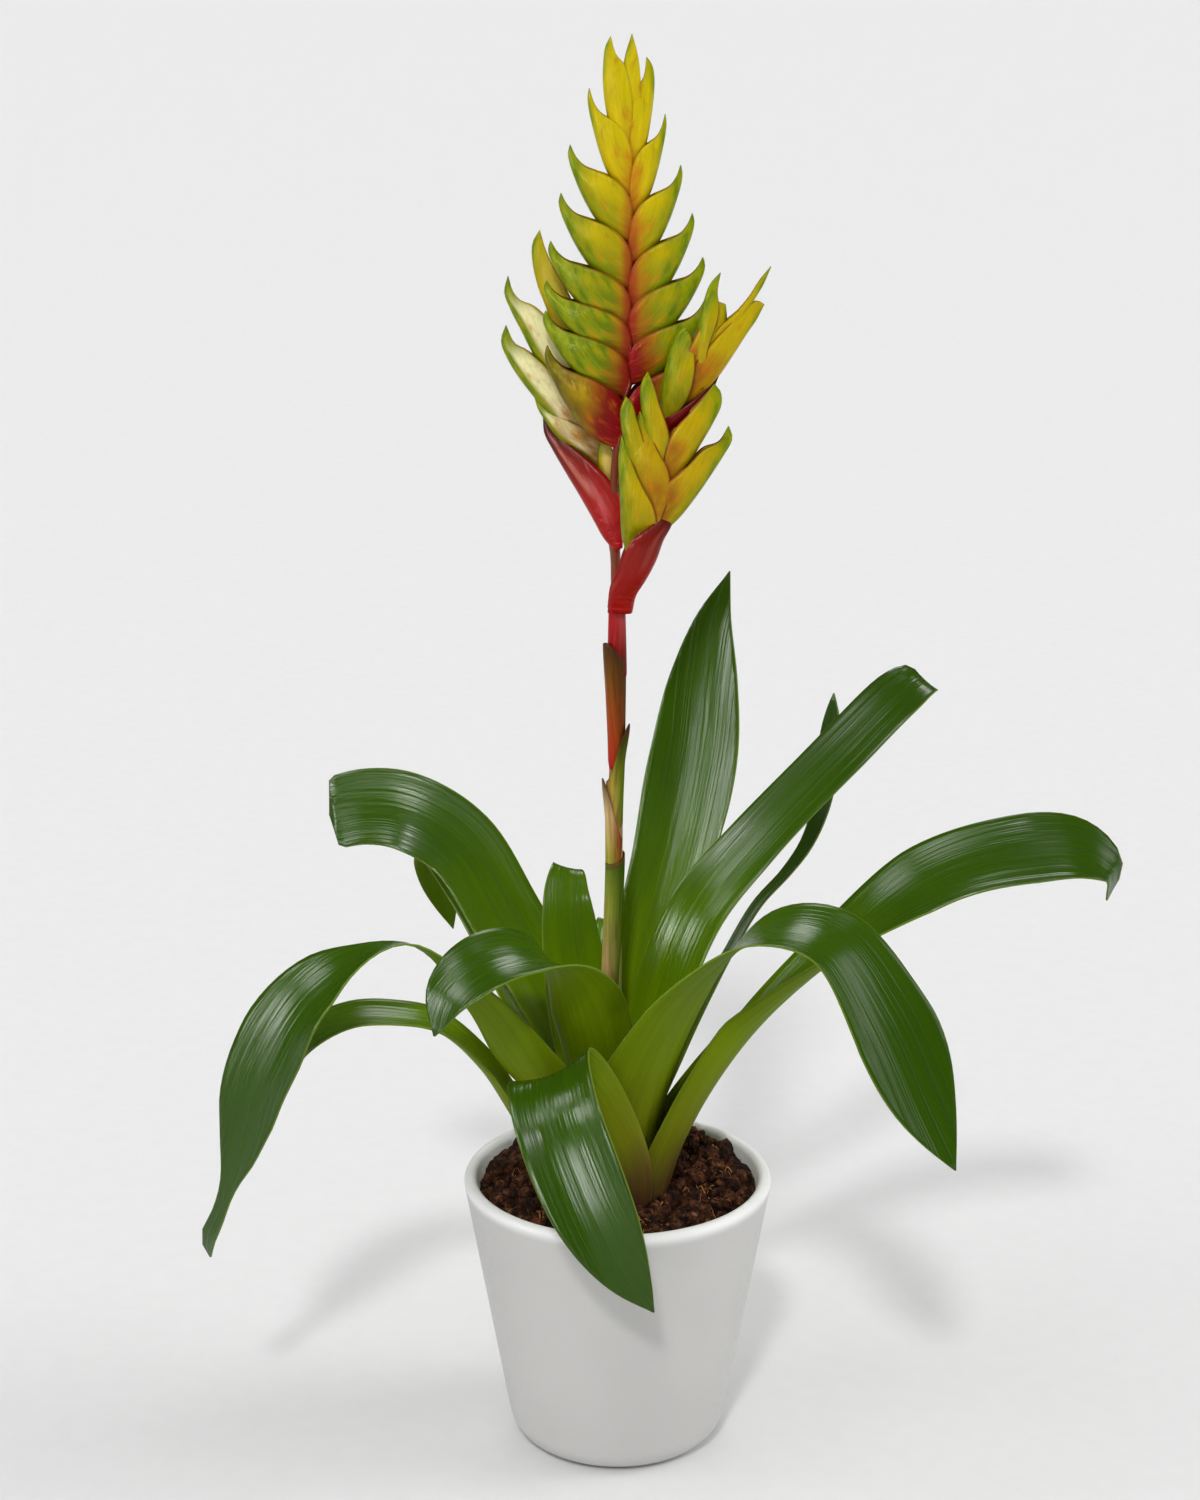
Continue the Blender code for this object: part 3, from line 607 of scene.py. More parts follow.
# each leaf: the way it heads, how far its foot stands from the stalk, the points its middle
# line passes, its width and its roll at even steps, where the tip begins to narrow and how
# square it is, for some the radius of the section at even steps, and how ripe its green is
leaves = {
    "leaf_front": dict(
        turn=-95, ring=19.2,
        line=[(-1, -25, 132), (-13, -33, 165), (-27, -51, 191), (-25, -70, 182),
              (-12, -86, 150), (2.5, -93, 122), (14.5, -95, 104)],
        width=[28, 34, 39, 39, 39, 39], tip=(0.6, 3.0), roll=[0, 0, 5, 5, 0, 0], ripe=0.36),
    "leaf_front_left": dict(
        turn=-115, ring=9.6,
        line=[(-4.6, -11, 140), (-8, -16, 175), (-15, -26, 212), (-24, -36, 233),
              (-38, -45, 241), (-55, -53, 240), (-70, -58, 229), (-76, -61, 212)],
        width=[28, 32, 36, 37, 35, 34, 34], tip=(0.74, 3.0),
        roll=[0, 3, 8, 16, 16, -14, -42, -52, -54], ripe=0.12),
    "leaf_front_right": dict(
        turn=-62, ring=13.8,
        line=[(7, -16, 140), (15, -26, 182), (36, -42, 228), (61, -54, 254),
              (86, -63, 254), (108, -72, 225), (125.5, -82, 188), (137, -90, 165)],
        width=[34, 42, 46, 41, 37, 36, 37, 40, 43, 43], tip=(0.8, 1.8),
        roll=[0, 0, 15, 45, 70, 75]),
    "leaf_left_long": dict(
        turn=-145, ring=15.6,
        line=[(-17, -13, 140), (-40, -23, 184), (-58, -29, 214), (-88, -33, 242),
              (-126, -34, 223), (-150, -34, 186), (-162.5, -35, 146), (-171.5, -36, 119),
              (-176, -36, 108), (-175, -38, 101)],
        width=[24, 32, 38, 36, 27, 18, 9, 20, 34, 39, 35, 24, 9, 14], tip=(0.97, 2.2),
        roll=[0, 5, 18, 30, 24, -8, -50, -68, -74, -62, -50]),
    "leaf_left_low": dict(
        turn=180, ring=17.6,
        line=[(-20, 0, 115), (-26, 0, 126), (-41, 0, 143), (-60, -2, 175), (-78, -4, 193),
              (-96, -5, 197.5), (-115, -5, 197), (-134, -5, 187), (-147, -3, 167),
              (-157, 0, 146)],
        width=[34, 30, 26, 26, 27, 28], tip=(0.7, 2.4), roll=[0, 0, 0, 3, -2, -14, -24],
        bend=[17.6, 17, 17, 25, 40, 50]),
    "leaf_left_high": dict(
        turn=144, ring=13.2,
        line=[(-13, 10, 140), (-28, 22, 191), (-50, 34, 232), (-69, 41, 262),
              (-92, 46, 275), (-110, 52, 275.5), (-128, 58, 270)],
        width=[24, 28, 32, 33, 33, 35, 33], tip=(0.955, 6), roll=[0, 0, -35, -50, -52]),
    "leaf_back_left": dict(
        turn=128, ring=14.4,
        line=[(-15, 17, 140), (-38, 30, 190), (-61, 52, 231), (-78, 70, 249),
              (-80, 78, 235), (-75, 81, 208)],
        width=[24, 27, 30, 30, 30], tip=(0.72, 2.2), roll=[0, 0]),
    "leaf_back_short": dict(
        turn=110, ring=10.5,
        line=[(-5, 10, 140), (-13, 13, 185), (-20.5, 17, 222), (-22.5, 24, 244),
              (-22, 36, 252), (-26, 54, 240)],
        width=[19, 30, 39, 37, 28, 22, 20], tip=(0.72, 2.0), roll=[0, 0],
        bend=[10.5, 13, 24, 40, 34, 20]),
    "leaf_upright": dict(
        turn=56, ring=7.0,
        line=[(4.5, 11, 140), (13.5, 26, 213), (25.5, 37, 260), (34.5, 46, 302), (38, 53, 332),
              (42, 60, 358), (49, 66, 379)],
        width=[24, 27, 30, 34, 38, 44, 49, 50], tip=(0.64, 1.7),
        roll=[0, 3, 18, 20, 17, 12], ripe=-0.05),
    "leaf_right_high": dict(
        turn=25, ring=8.4,
        line=[(9.4, 1, 140), (20, 0, 200), (35, 4, 243), (58, 15, 270), (97, 37, 305),
              (123, 49, 328), (133, 55, 333), (138, 63, 326)],
        width=[24, 30, 33, 32, 29, 26, 25, 26, 27], tip=(0.88, 3.4),
        roll=[0, 0, 25, 30, 30, 20]),
    "leaf_right_narrow": dict(
        turn=40, ring=12.3,
        line=[(11.2, 9.2, 140), (30, 20, 180), (48, 31, 212), (62, 40, 234), (75, 46, 247),
              (84, 50, 259), (90, 54, 274), (93.5, 56, 300), (95, 58, 326)],
        width=[20, 21, 19, 15, 12, 11, 14, 17], tip=(0.84, 2.4),
        roll=[0, 0, -20, -30, -24, -4, 10]),
    "leaf_right_arching": dict(
        turn=-5, ring=17.6,
        line=[(27, -2, 134), (33, -3, 149), (44.5, -3, 170), (60, -3, 192), (86, -2, 219),
              (132, 0, 258.5), (168, 0, 271), (197, 0, 272), (211, 0, 263), (209, 0, 250)],
        width=[50, 48, 44, 42, 41, 39, 36, 35, 34], tip=(0.84, 2.6),
        roll=[0, 0, -15, 5, 35, 45, 30], bend=[17.6, 17, 18, 26, 60, 60, 60]),
    "leaf_back_low": dict(
        turn=88, ring=19.2,
        line=[(1, 26, 137), (2, 46, 165), (4, 76, 192), (6, 110, 200), (8, 136, 178),
              (9, 148, 150)],
        width=[36, 34, 32, 32, 32], tip=(0.6, 2.0), roll=[0, 0]),
}


def leafPoints(leaf):
    turn = math.radians(leaf["turn"])
    outward = np.array((math.cos(turn), math.sin(turn), 0))
    side = np.array((-math.sin(turn), math.cos(turn), 0))
    ring = leaf["ring"]
    rows, columns = leafShape["rows"], leafShape["columns"]
    base = outward * ring + np.array((0, 0, leafShape["crown"]))
    middle, length = along([base] + leaf["line"], rows)
    forward = np.gradient(middle, axis=0)
    forward[0] = (0, 0, 1)
    steps = np.linspace(0, 1, rows)
    roll = spread(leaf["roll"], rows)
    tipStart, tipSquare = leaf["tip"]
    # a smooth line through the widths, laid out over 60 so that it bends gently
    places = np.linspace(0, 60, len(leaf["width"]))
    smooth, _ = along([(s, w, 0) for s, w in zip(places, leaf["width"])], rows * 4)
    width = np.interp(steps * 60, smooth[:, 0], smooth[:, 1])
    width *= 1 - np.clip((steps - tipStart) / (1 - tipStart), 0, 0.995) ** tipSquare
    if "bend" in leaf:
        bend = spread(leaf["bend"], rows)
    else:
        opening = leafShape["flattest"] - ring
        away = np.hypot(middle[:, 0], middle[:, 1]) - ring
        bend = ring + opening * (1 - np.exp(-away / opening))
    points, across = [], []
    for i in range(rows):
        ahead = unit(forward[i])
        side = unit(side - ahead * (side @ ahead))
        up = np.cross(ahead, side)
        angle = math.radians(roll[i])
        over = side * math.cos(angle) + up * math.sin(angle)
        inward = up * math.cos(angle) - side * math.sin(angle)
        reach = np.linspace(-0.5, 0.5, columns + 1) * width[i]
        turnIn = reach / bend[i]
        points.append([middle[i] + bend[i] * (over * math.sin(a) + inward * (1 - math.cos(a)))
                       for a in turnIn])
        across.append(reach)
    return np.array(points), np.array(across), length


def leafFinish(name, colours, gloss, line, shine, ripe=False):
    # colours from the foot up over 250 mm, then the pale line on the edge
    finish = Finish(name, Specular_IOR_Level=shine)
    veins = finish.noise((1500, 14, 1), detail=3, roughness=0.6)
    bands = finish.noise((300, 5, 1), detail=2)
    cloud = finish.noise((45, 14, 1), detail=2)
    place = finish.add("SeparateXYZ", {0: finish.add("UVMap", uv_map="realSize")}, output=1)
    place = finish.plus(finish.times(place, 4.0), finish.swing(cloud, 0.2))
    if ripe:
        place = finish.plus(place, finish.share("ripe"))
    colour = finish.ramp(place, colours)
    colour = finish.stain(finish.step(bands, 0.3, 0.7, 0.0, 0.4), colour, (0.66, 0.72, 0.6))
    colour = finish.stain(finish.step(veins, 0.4, 0.7, 0.0, 0.4), colour, (1.45, 1.3, 1.1))
    colour = finish.mix(finish.step(finish.edge(), 0.97, 1.0, 0, 0.3), colour, line)
    finish.join("Base Color", colour)
    finish.join("Roughness", finish.step(bands, 0.2, 0.8, gloss - 0.06, gloss + 0.1))
    finish.join("Normal", finish.bump(veins, 0.00009, normal=finish.bump(bands, 0.0006)))
    return finish.material


def makeLeaves():
    # the pale yellow-green low on the upper faces is partly the leaves' own colour and partly
    # painted light against the shade in the crown
    upper = leafFinish("leafUpper", [
        (0.06, tone(84, 56, 30)), (0.16, tone(116, 124, 10)), (0.34, tone(118, 148, 2)),
        (0.52, tone(82, 116, 2)), (0.75, tone(54, 86, 1)), (1.0, tone(46, 76, 2))],
        0.22, tone(140, 155, 70), 0.25, ripe=True)
    under = leafFinish("leafUnder", [
        (0.06, tone(80, 48, 34)), (0.13, tone(98, 80, 34)), (0.2, tone(112, 118, 12)),
        (0.36, tone(112, 134, 2)), (0.6, tone(94, 122, 2)), (1.0, tone(72, 100, 6))],
        0.5, tone(140, 158, 80), 0.08)
    for name, leaf in leaves.items():
        points, across, length = leafPoints(leaf)
        piece = layGrid(name, points, across, length, {"ripe": leaf.get("ripe", 0)})
        piece.data.materials.append(under)
        piece.data.materials.append(upper)
        thicken(piece, leafShape["thick"], inner=1)
        finishPiece(piece, name, "leaf_green")


stalk = {
    "line": [(0, 0, 98), (-1.5, 0, 213), (-1, 0, 300), (-1, 0, 380), (-1.5, 0, 415)],
    "axis": [(-1.5, 0, 415), (-1, 0, 440), (2.5, 0, 460), (4, 0, 485), (4.5, 0, 530), (5, 0, 606)],
    "heights": [98, 215, 300, 380, 415, 450, 480, 606],
    "radii": [3.3, 3.3, 3.0, 2.3, 1.8, 2.4, 1.6, 0.7],
    "sides": 24,
    "branchRadii": (1.6, 0.8),  # of a branch's axis, at its foot and its end
    "branchSides": 14,
}


def stalkRadius(height):
    return np.interp(height, stalk["heights"], stalk["radii"])


def layTube(name, middle, radii, sides, flat=1.0):
    # a closed tube; flat says how much deeper than wide it is
    rows = len(middle)
    flat = np.full(rows, flat) if np.isscalar(flat) else flat
    points = np.zeros((rows, sides + 1, 3))
    side = np.array((1.0, 0, 0))
    forward = np.gradient(middle, axis=0)
    for i in range(rows):
        ahead = unit(forward[i])
        side = unit(side - ahead * (side @ ahead))
        other = np.cross(ahead, side)
        for j in range(sides + 1):
            a = 2 * math.pi * j / sides
            outward = side * math.cos(a) + other * math.sin(a) * flat[i]
            points[i, j] = middle[i] + radii[i] * outward
    across = np.tile(np.linspace(0, 2 * math.pi * radii.mean(), sides + 1), (rows, 1))
    length = np.linalg.norm(np.diff(middle, axis=0), axis=1).sum()
    piece = layGrid(name, points, across, length)
    bpy.ops.object.mode_set(mode="EDIT")
    bpy.ops.mesh.select_all(action="SELECT")
    bpy.ops.mesh.remove_doubles(threshold=mergeGap)
    bpy.ops.mesh.select_all(action="DESELECT")
    bpy.ops.mesh.select_mode(type="EDGE")
    bpy.ops.mesh.select_non_manifold()
    bpy.ops.mesh.edge_face_add()
    bpy.ops.mesh.select_all(action="SELECT")
    bpy.ops.mesh.normals_make_consistent(inside=False)
    bpy.ops.object.mode_set(mode="OBJECT")
    return piece


def stemFinish():
    finish = Finish("flowerStem", Roughness=0.4, Specular_IOR_Level=0.2)
    height = finish.height()
    blur = finish.solid((90, 90, 20))
    place = finish.math("MULTIPLY_ADD", height, 1.6, -0.16)
    place = finish.plus(place, finish.swing(blur, 0.08))
    colour = finish.ramp(place, [
        (0.0, tone(110, 140, 60)), (0.16, tone(150, 160, 84)), (0.28, tone(168, 136, 92)),
        (0.36, tone(150, 104, 60)), (0.44, tone(150, 70, 46)), (0.52, tone(120, 62, 34)),
        (0.62, tone(130, 30, 26)), (1.0, tone(150, 40, 24))])
    streak = finish.solid((700, 700, 24))
    colour = finish.stain(finish.step(streak, 0.35, 0.7, 0, 0.45), colour, (0.55, 0.5, 0.45))
    finish.join("Base Color", colour)
    finish.join("Normal", finish.bump(streak, 0.0003))
    return finish.material


def makeStalk():
    low, _ = along(stalk["line"], 40)
    high, _ = along(stalk["axis"], 120)
    # the axis steps from side to side between the bracts
    feet = [(row[0], -0.9) for row in mainLeft[1:]] + [(row[0] + 1, 0.9) for row in mainRight[1:]]
    feet = sorted(feet + [(440, 0), (600, 0)])
    high[:, 0] += np.interp(high[:, 2], [z for z, _ in feet], [step for _, step in feet])
    middle = np.vstack([low, high[1:]])
    thick = stalkRadius(middle[:, 2]) * np.interp(middle[:, 2], [430, 470], [1, 0.75])
    flat = np.interp(middle[:, 2], [430, 470, 560, 606], [1, 3.4, 2.6, 1])
    tubes = [layTube("flower_stalk_main", middle, thick, stalk["sides"], flat)]
    for name, branch in branches.items():
        middle, _ = along(branch["axis"], 24)
        radii = np.linspace(*stalk["branchRadii"], 24)
        tubes.append(layTube(name + "_axis", middle, radii, stalk["branchSides"]))
    pickUp(*tubes)
    bpy.ops.object.join()
    piece = bpy.context.active_object
    piece.name = "flower_stem"
    finishPiece(piece, "flower_stalk", "stem", stemFinish())


sheathShape = {"rows": 30, "columns": 36, "thick": 0.45}

# each sheath: heights of its foot, its tip and the lowest point of its mouth, the way the tip
# faces, middle and radius at the foot and at the mouth, how far the tip stands off, and its
# colours from foot to tip on the left and on the right
sheaths = {
    "stalk_bract_1": dict(
        heights=(196, 271.5, 267.5), turn=40, foot=(-3.2, 4.1), mouth=(-1.5, 3.75), off=0.6,
        left=[(80, 90, 20), (222, 184, 122), (160, 166, 60), (60, 96, 6)],
        right=[(36, 60, 2), (88, 112, 8), (70, 96, 8), (44, 74, 2)]),
    "stalk_bract_2": dict(
        heights=(252, 305, 278), turn=195, foot=(-1.9, 3.3), mouth=(-1.7, 3.7), off=1.4,
        left=[(150, 156, 40), (176, 170, 60), (222, 190, 130), (40, 30, 12)],
        right=[(136, 96, 20), (126, 60, 14), (140, 40, 18), (86, 36, 14)]),
    "stalk_bract_3": dict(
        heights=(282, 329, 303), turn=-15, foot=(-1.6, 3.4), mouth=(-0.9, 3.9), off=1.8,
        left=[(216, 164, 104), (206, 170, 80), (124, 124, 10), (84, 50, 10)],
        right=[(104, 104, 12), (96, 120, 4), (78, 88, 6), (52, 30, 8)]),
    "stalk_bract_4": dict(
        heights=(309, 364.5, 355), turn=222, foot=(-0.7, 3.4), mouth=(-1.4, 4.5), off=0.6,
        left=[(180, 16, 14), (170, 70, 12), (126, 74, 10), (50, 36, 8)],
        right=[(96, 70, 8), (104, 52, 6), (84, 50, 4), (44, 32, 4)]),
    "stalk_bract_5": dict(
        heights=(348, 385, 383), turn=120, foot=(-0.6, 3.9), mouth=(-0.6, 3.3), off=0.0,
        left=[(150, 14, 14), (180, 22, 26), (170, 10, 16), (170, 14, 18)],
        right=[(116, 22, 18), (110, 22, 18), (168, 66, 64), (130, 26, 24)]),
}


def sheathFinish():
    finish = Finish("stalkSheath", Roughness=0.4, Specular_IOR_Level=0.12)
    tint = finish.add("Attribute", output="Color", attribute_name="tint")
    streak = finish.noise((700, 40, 1), detail=3)
    patch = finish.noise((260, 80, 1), detail=3)
    colour = finish.stain(finish.step(streak, 0.42, 0.66, 0, 0.7), tint, (0.5, 0.52, 0.45))
    colour = finish.stain(finish.step(patch, 0.5, 0.75, 0, 0.5), colour, (0.9, 0.45, 0.3))
    up = finish.share("along")
    colour = finish.mix(finish.step(up, 0.95, 0.985, 0, 0.6), colour, tone(84, 32, 14))
    finish.join("Base Color", colour)
    finish.join("Normal", finish.bump(streak, 0.0003))
    return finish.material


def sheathPoints(sheath):
    rows, columns = sheathShape["rows"], sheathShape["columns"]
    footZ, tipZ, lowZ = sheath["heights"]
    turn = math.radians(sheath["turn"])
    points = np.zeros((rows, columns + 1, 3))
    tints = np.ones((rows, columns + 1, 4))
    across = np.zeros((rows, columns + 1))
    sides = {side: [spread([tone(*c)[k] for c in sheath[side]], rows) for k in range(3)]
             for side in ("left", "right")}
    for j, angle in enumerate(np.linspace(-math.pi, math.pi, columns + 1)):
        # the mouth falls away from the tip on both sides
        near = (1 + math.cos(angle)) / 2
        top = lowZ + (tipZ - lowZ) * near**1.7
        for i, t in enumerate(np.linspace(0, 1, rows)):
            z = footZ + (top - footZ) * t
            rise = (z - footZ) / (tipZ - footZ)
            centre = sheath["foot"][0] + (sheath["mouth"][0] - sheath["foot"][0]) * ease(rise)
            radius = sheath["foot"][1] + (sheath["mouth"][1] - sheath["foot"][1]) * ease(rise)
            radius += sheath["off"] * near**2 * ease((rise - 0.6) / 0.4)
            radius -= 0.5 * ease((0.06 - t) / 0.06)
            x = radius * math.cos(turn + angle)
            points[i, j] = (centre + x, radius * math.sin(turn + angle), z)
            side = float(ease(x / radius * 0.5 + 0.5))
            level = min(rows - 1, int(rise * (rows - 1)))
            tints[i, j, :3] = [sides["left"][k][level] * (1 - side)
                               + sides["right"][k][level] * side for k in range(3)]
            across[i, j] = angle * radius
    return points, across, tipZ - footZ, tints


def makeSheaths():
    tinted = sheathFinish()
    for name, sheath in sheaths.items():
        points, across, length, tints = sheathPoints(sheath)
        piece = layGrid(name, points, across, length)
        mesh = piece.data
        # the colours go to the vertices by the row and column that each one stands in
        spot = np.zeros(len(mesh.vertices))
        mesh.attributes["along"].data.foreach_get("value", spot)
        row = np.rint(spot * (sheathShape["rows"] - 1)).astype(int)
        mesh.attributes["across"].data.foreach_get("value", spot)
        column = np.rint((spot + 1) / 2 * sheathShape["columns"]).astype(int)
        tint = mesh.attributes.new("tint", "FLOAT_COLOR", "POINT")
        tint.data.foreach_set("color", tints[row, column].ravel())
        mend(piece)
        thicken(piece, sheathShape["thick"])
        finishPiece(piece, name, "stem", tinted)


bractShape = {
    "rows": 30,
    "half": 9,
    "thick": 0.5,
    "clasp": 2.2,  # how far a bract stands in front of its axis at the foot
    "spikeReach": 32,  # how far from the axis the red of the heart goes
    "branchReach": 44,
    "branchHeart": 0.85,  # a branch's heart is never redder than this
    # outer edge and front edge of a bract, out from the axis and up from its foot, as shares
    "keel": [(0.04, 0), (0.3, 0.07), (0.55, 0.21), (0.75, 0.41), (0.9, 0.62), (1.01, 0.82),
             (1.03, 0.92), (1, 1)],
    "margin": [(-0.03, 0), (-0.04, 0.22), (0.0, 0.4), (0.12, 0.55), (0.36, 0.67), (0.62, 0.74),
               (0.8, 0.79), (0.92, 0.88), (1, 1)],
    "topMargin": [(-0.05, 0), (-0.06, 0.25), (0.0, 0.45), (0.15, 0.6), (0.35, 0.69), (0.55, 0.73),
                  (0.74, 0.78), (0.88, 0.86), (1, 1)],
}

# main spike: height of the foot, reach, rise, then how far red, green and maroon reach
mainLeft = [(446, 29, 42, 0.56, 0.45, 0.75), (467, 32.5, 35, 0.28, 0.95, 0.25),
            (482.5, 33, 31.5, 0.22, 0.9, 0.1), (494, 31.5, 36, 0.17, 0.8, 0),
            (511, 27.5, 38, 0.11, 0.6, 0), (530, 24, 38, 0.07, 0.5, 0),
            (548, 16.5, 42, 0.03, 0.2, 0)]
mainRight = [(448, 31.5, 42, 0.6, 0.6, 0.3), (472, 31, 34, 0.42, 0.8, 0.1),
             (487, 29.5, 36.5, 0.26, 0.75, 0), (502, 25, 39, 0.22, 0.65, 0),
             (521, 20, 39, 0.16, 0.5, 0), (540, 13.5, 40, 0.1, 0.35, 0)]
# the three bracts that close the top, outer edge and front edge from foot to tip as x and z
topBracts = {
    "spike_bract_left_8": dict(
        keel=[(3, 562), (-2, 570), (-5, 581), (-6.3, 591), (-6.2, 600), (-5.4, 606), (-3.4, 610)],
        margin=[(6, 562), (5.4, 575), (5, 587), (3.6, 595), (1.4, 600), (-1, 602.5), (-2.4, 606),
                (-3.4, 610)],
        depth=3.2, red=-0.04, green=0.12, clasp=1.9),
    "spike_bract_right_7": dict(
        keel=[(6, 557), (10.2, 567), (12.2, 577), (13.4, 587), (13.6, 594), (12.7, 599),
              (10.6, 602)],
        margin=[(4.4, 557), (4, 572), (4.6, 583), (6.8, 590), (9.4, 594), (10.2, 598), (10.6, 602)],
        depth=3.0, red=-0.04, green=0.2, clasp=1.9),
    "spike_bract_top": dict(
        keel=[(3.5, 572), (1.2, 582), (1, 592), (2.3, 602), (5, 611)],
        margin=[(7.5, 572), (8.6, 582), (8.4, 592), (7.4, 602), (5, 611)],
        depth=2.6, red=-0.1, green=0.1, clasp=1.6),
}

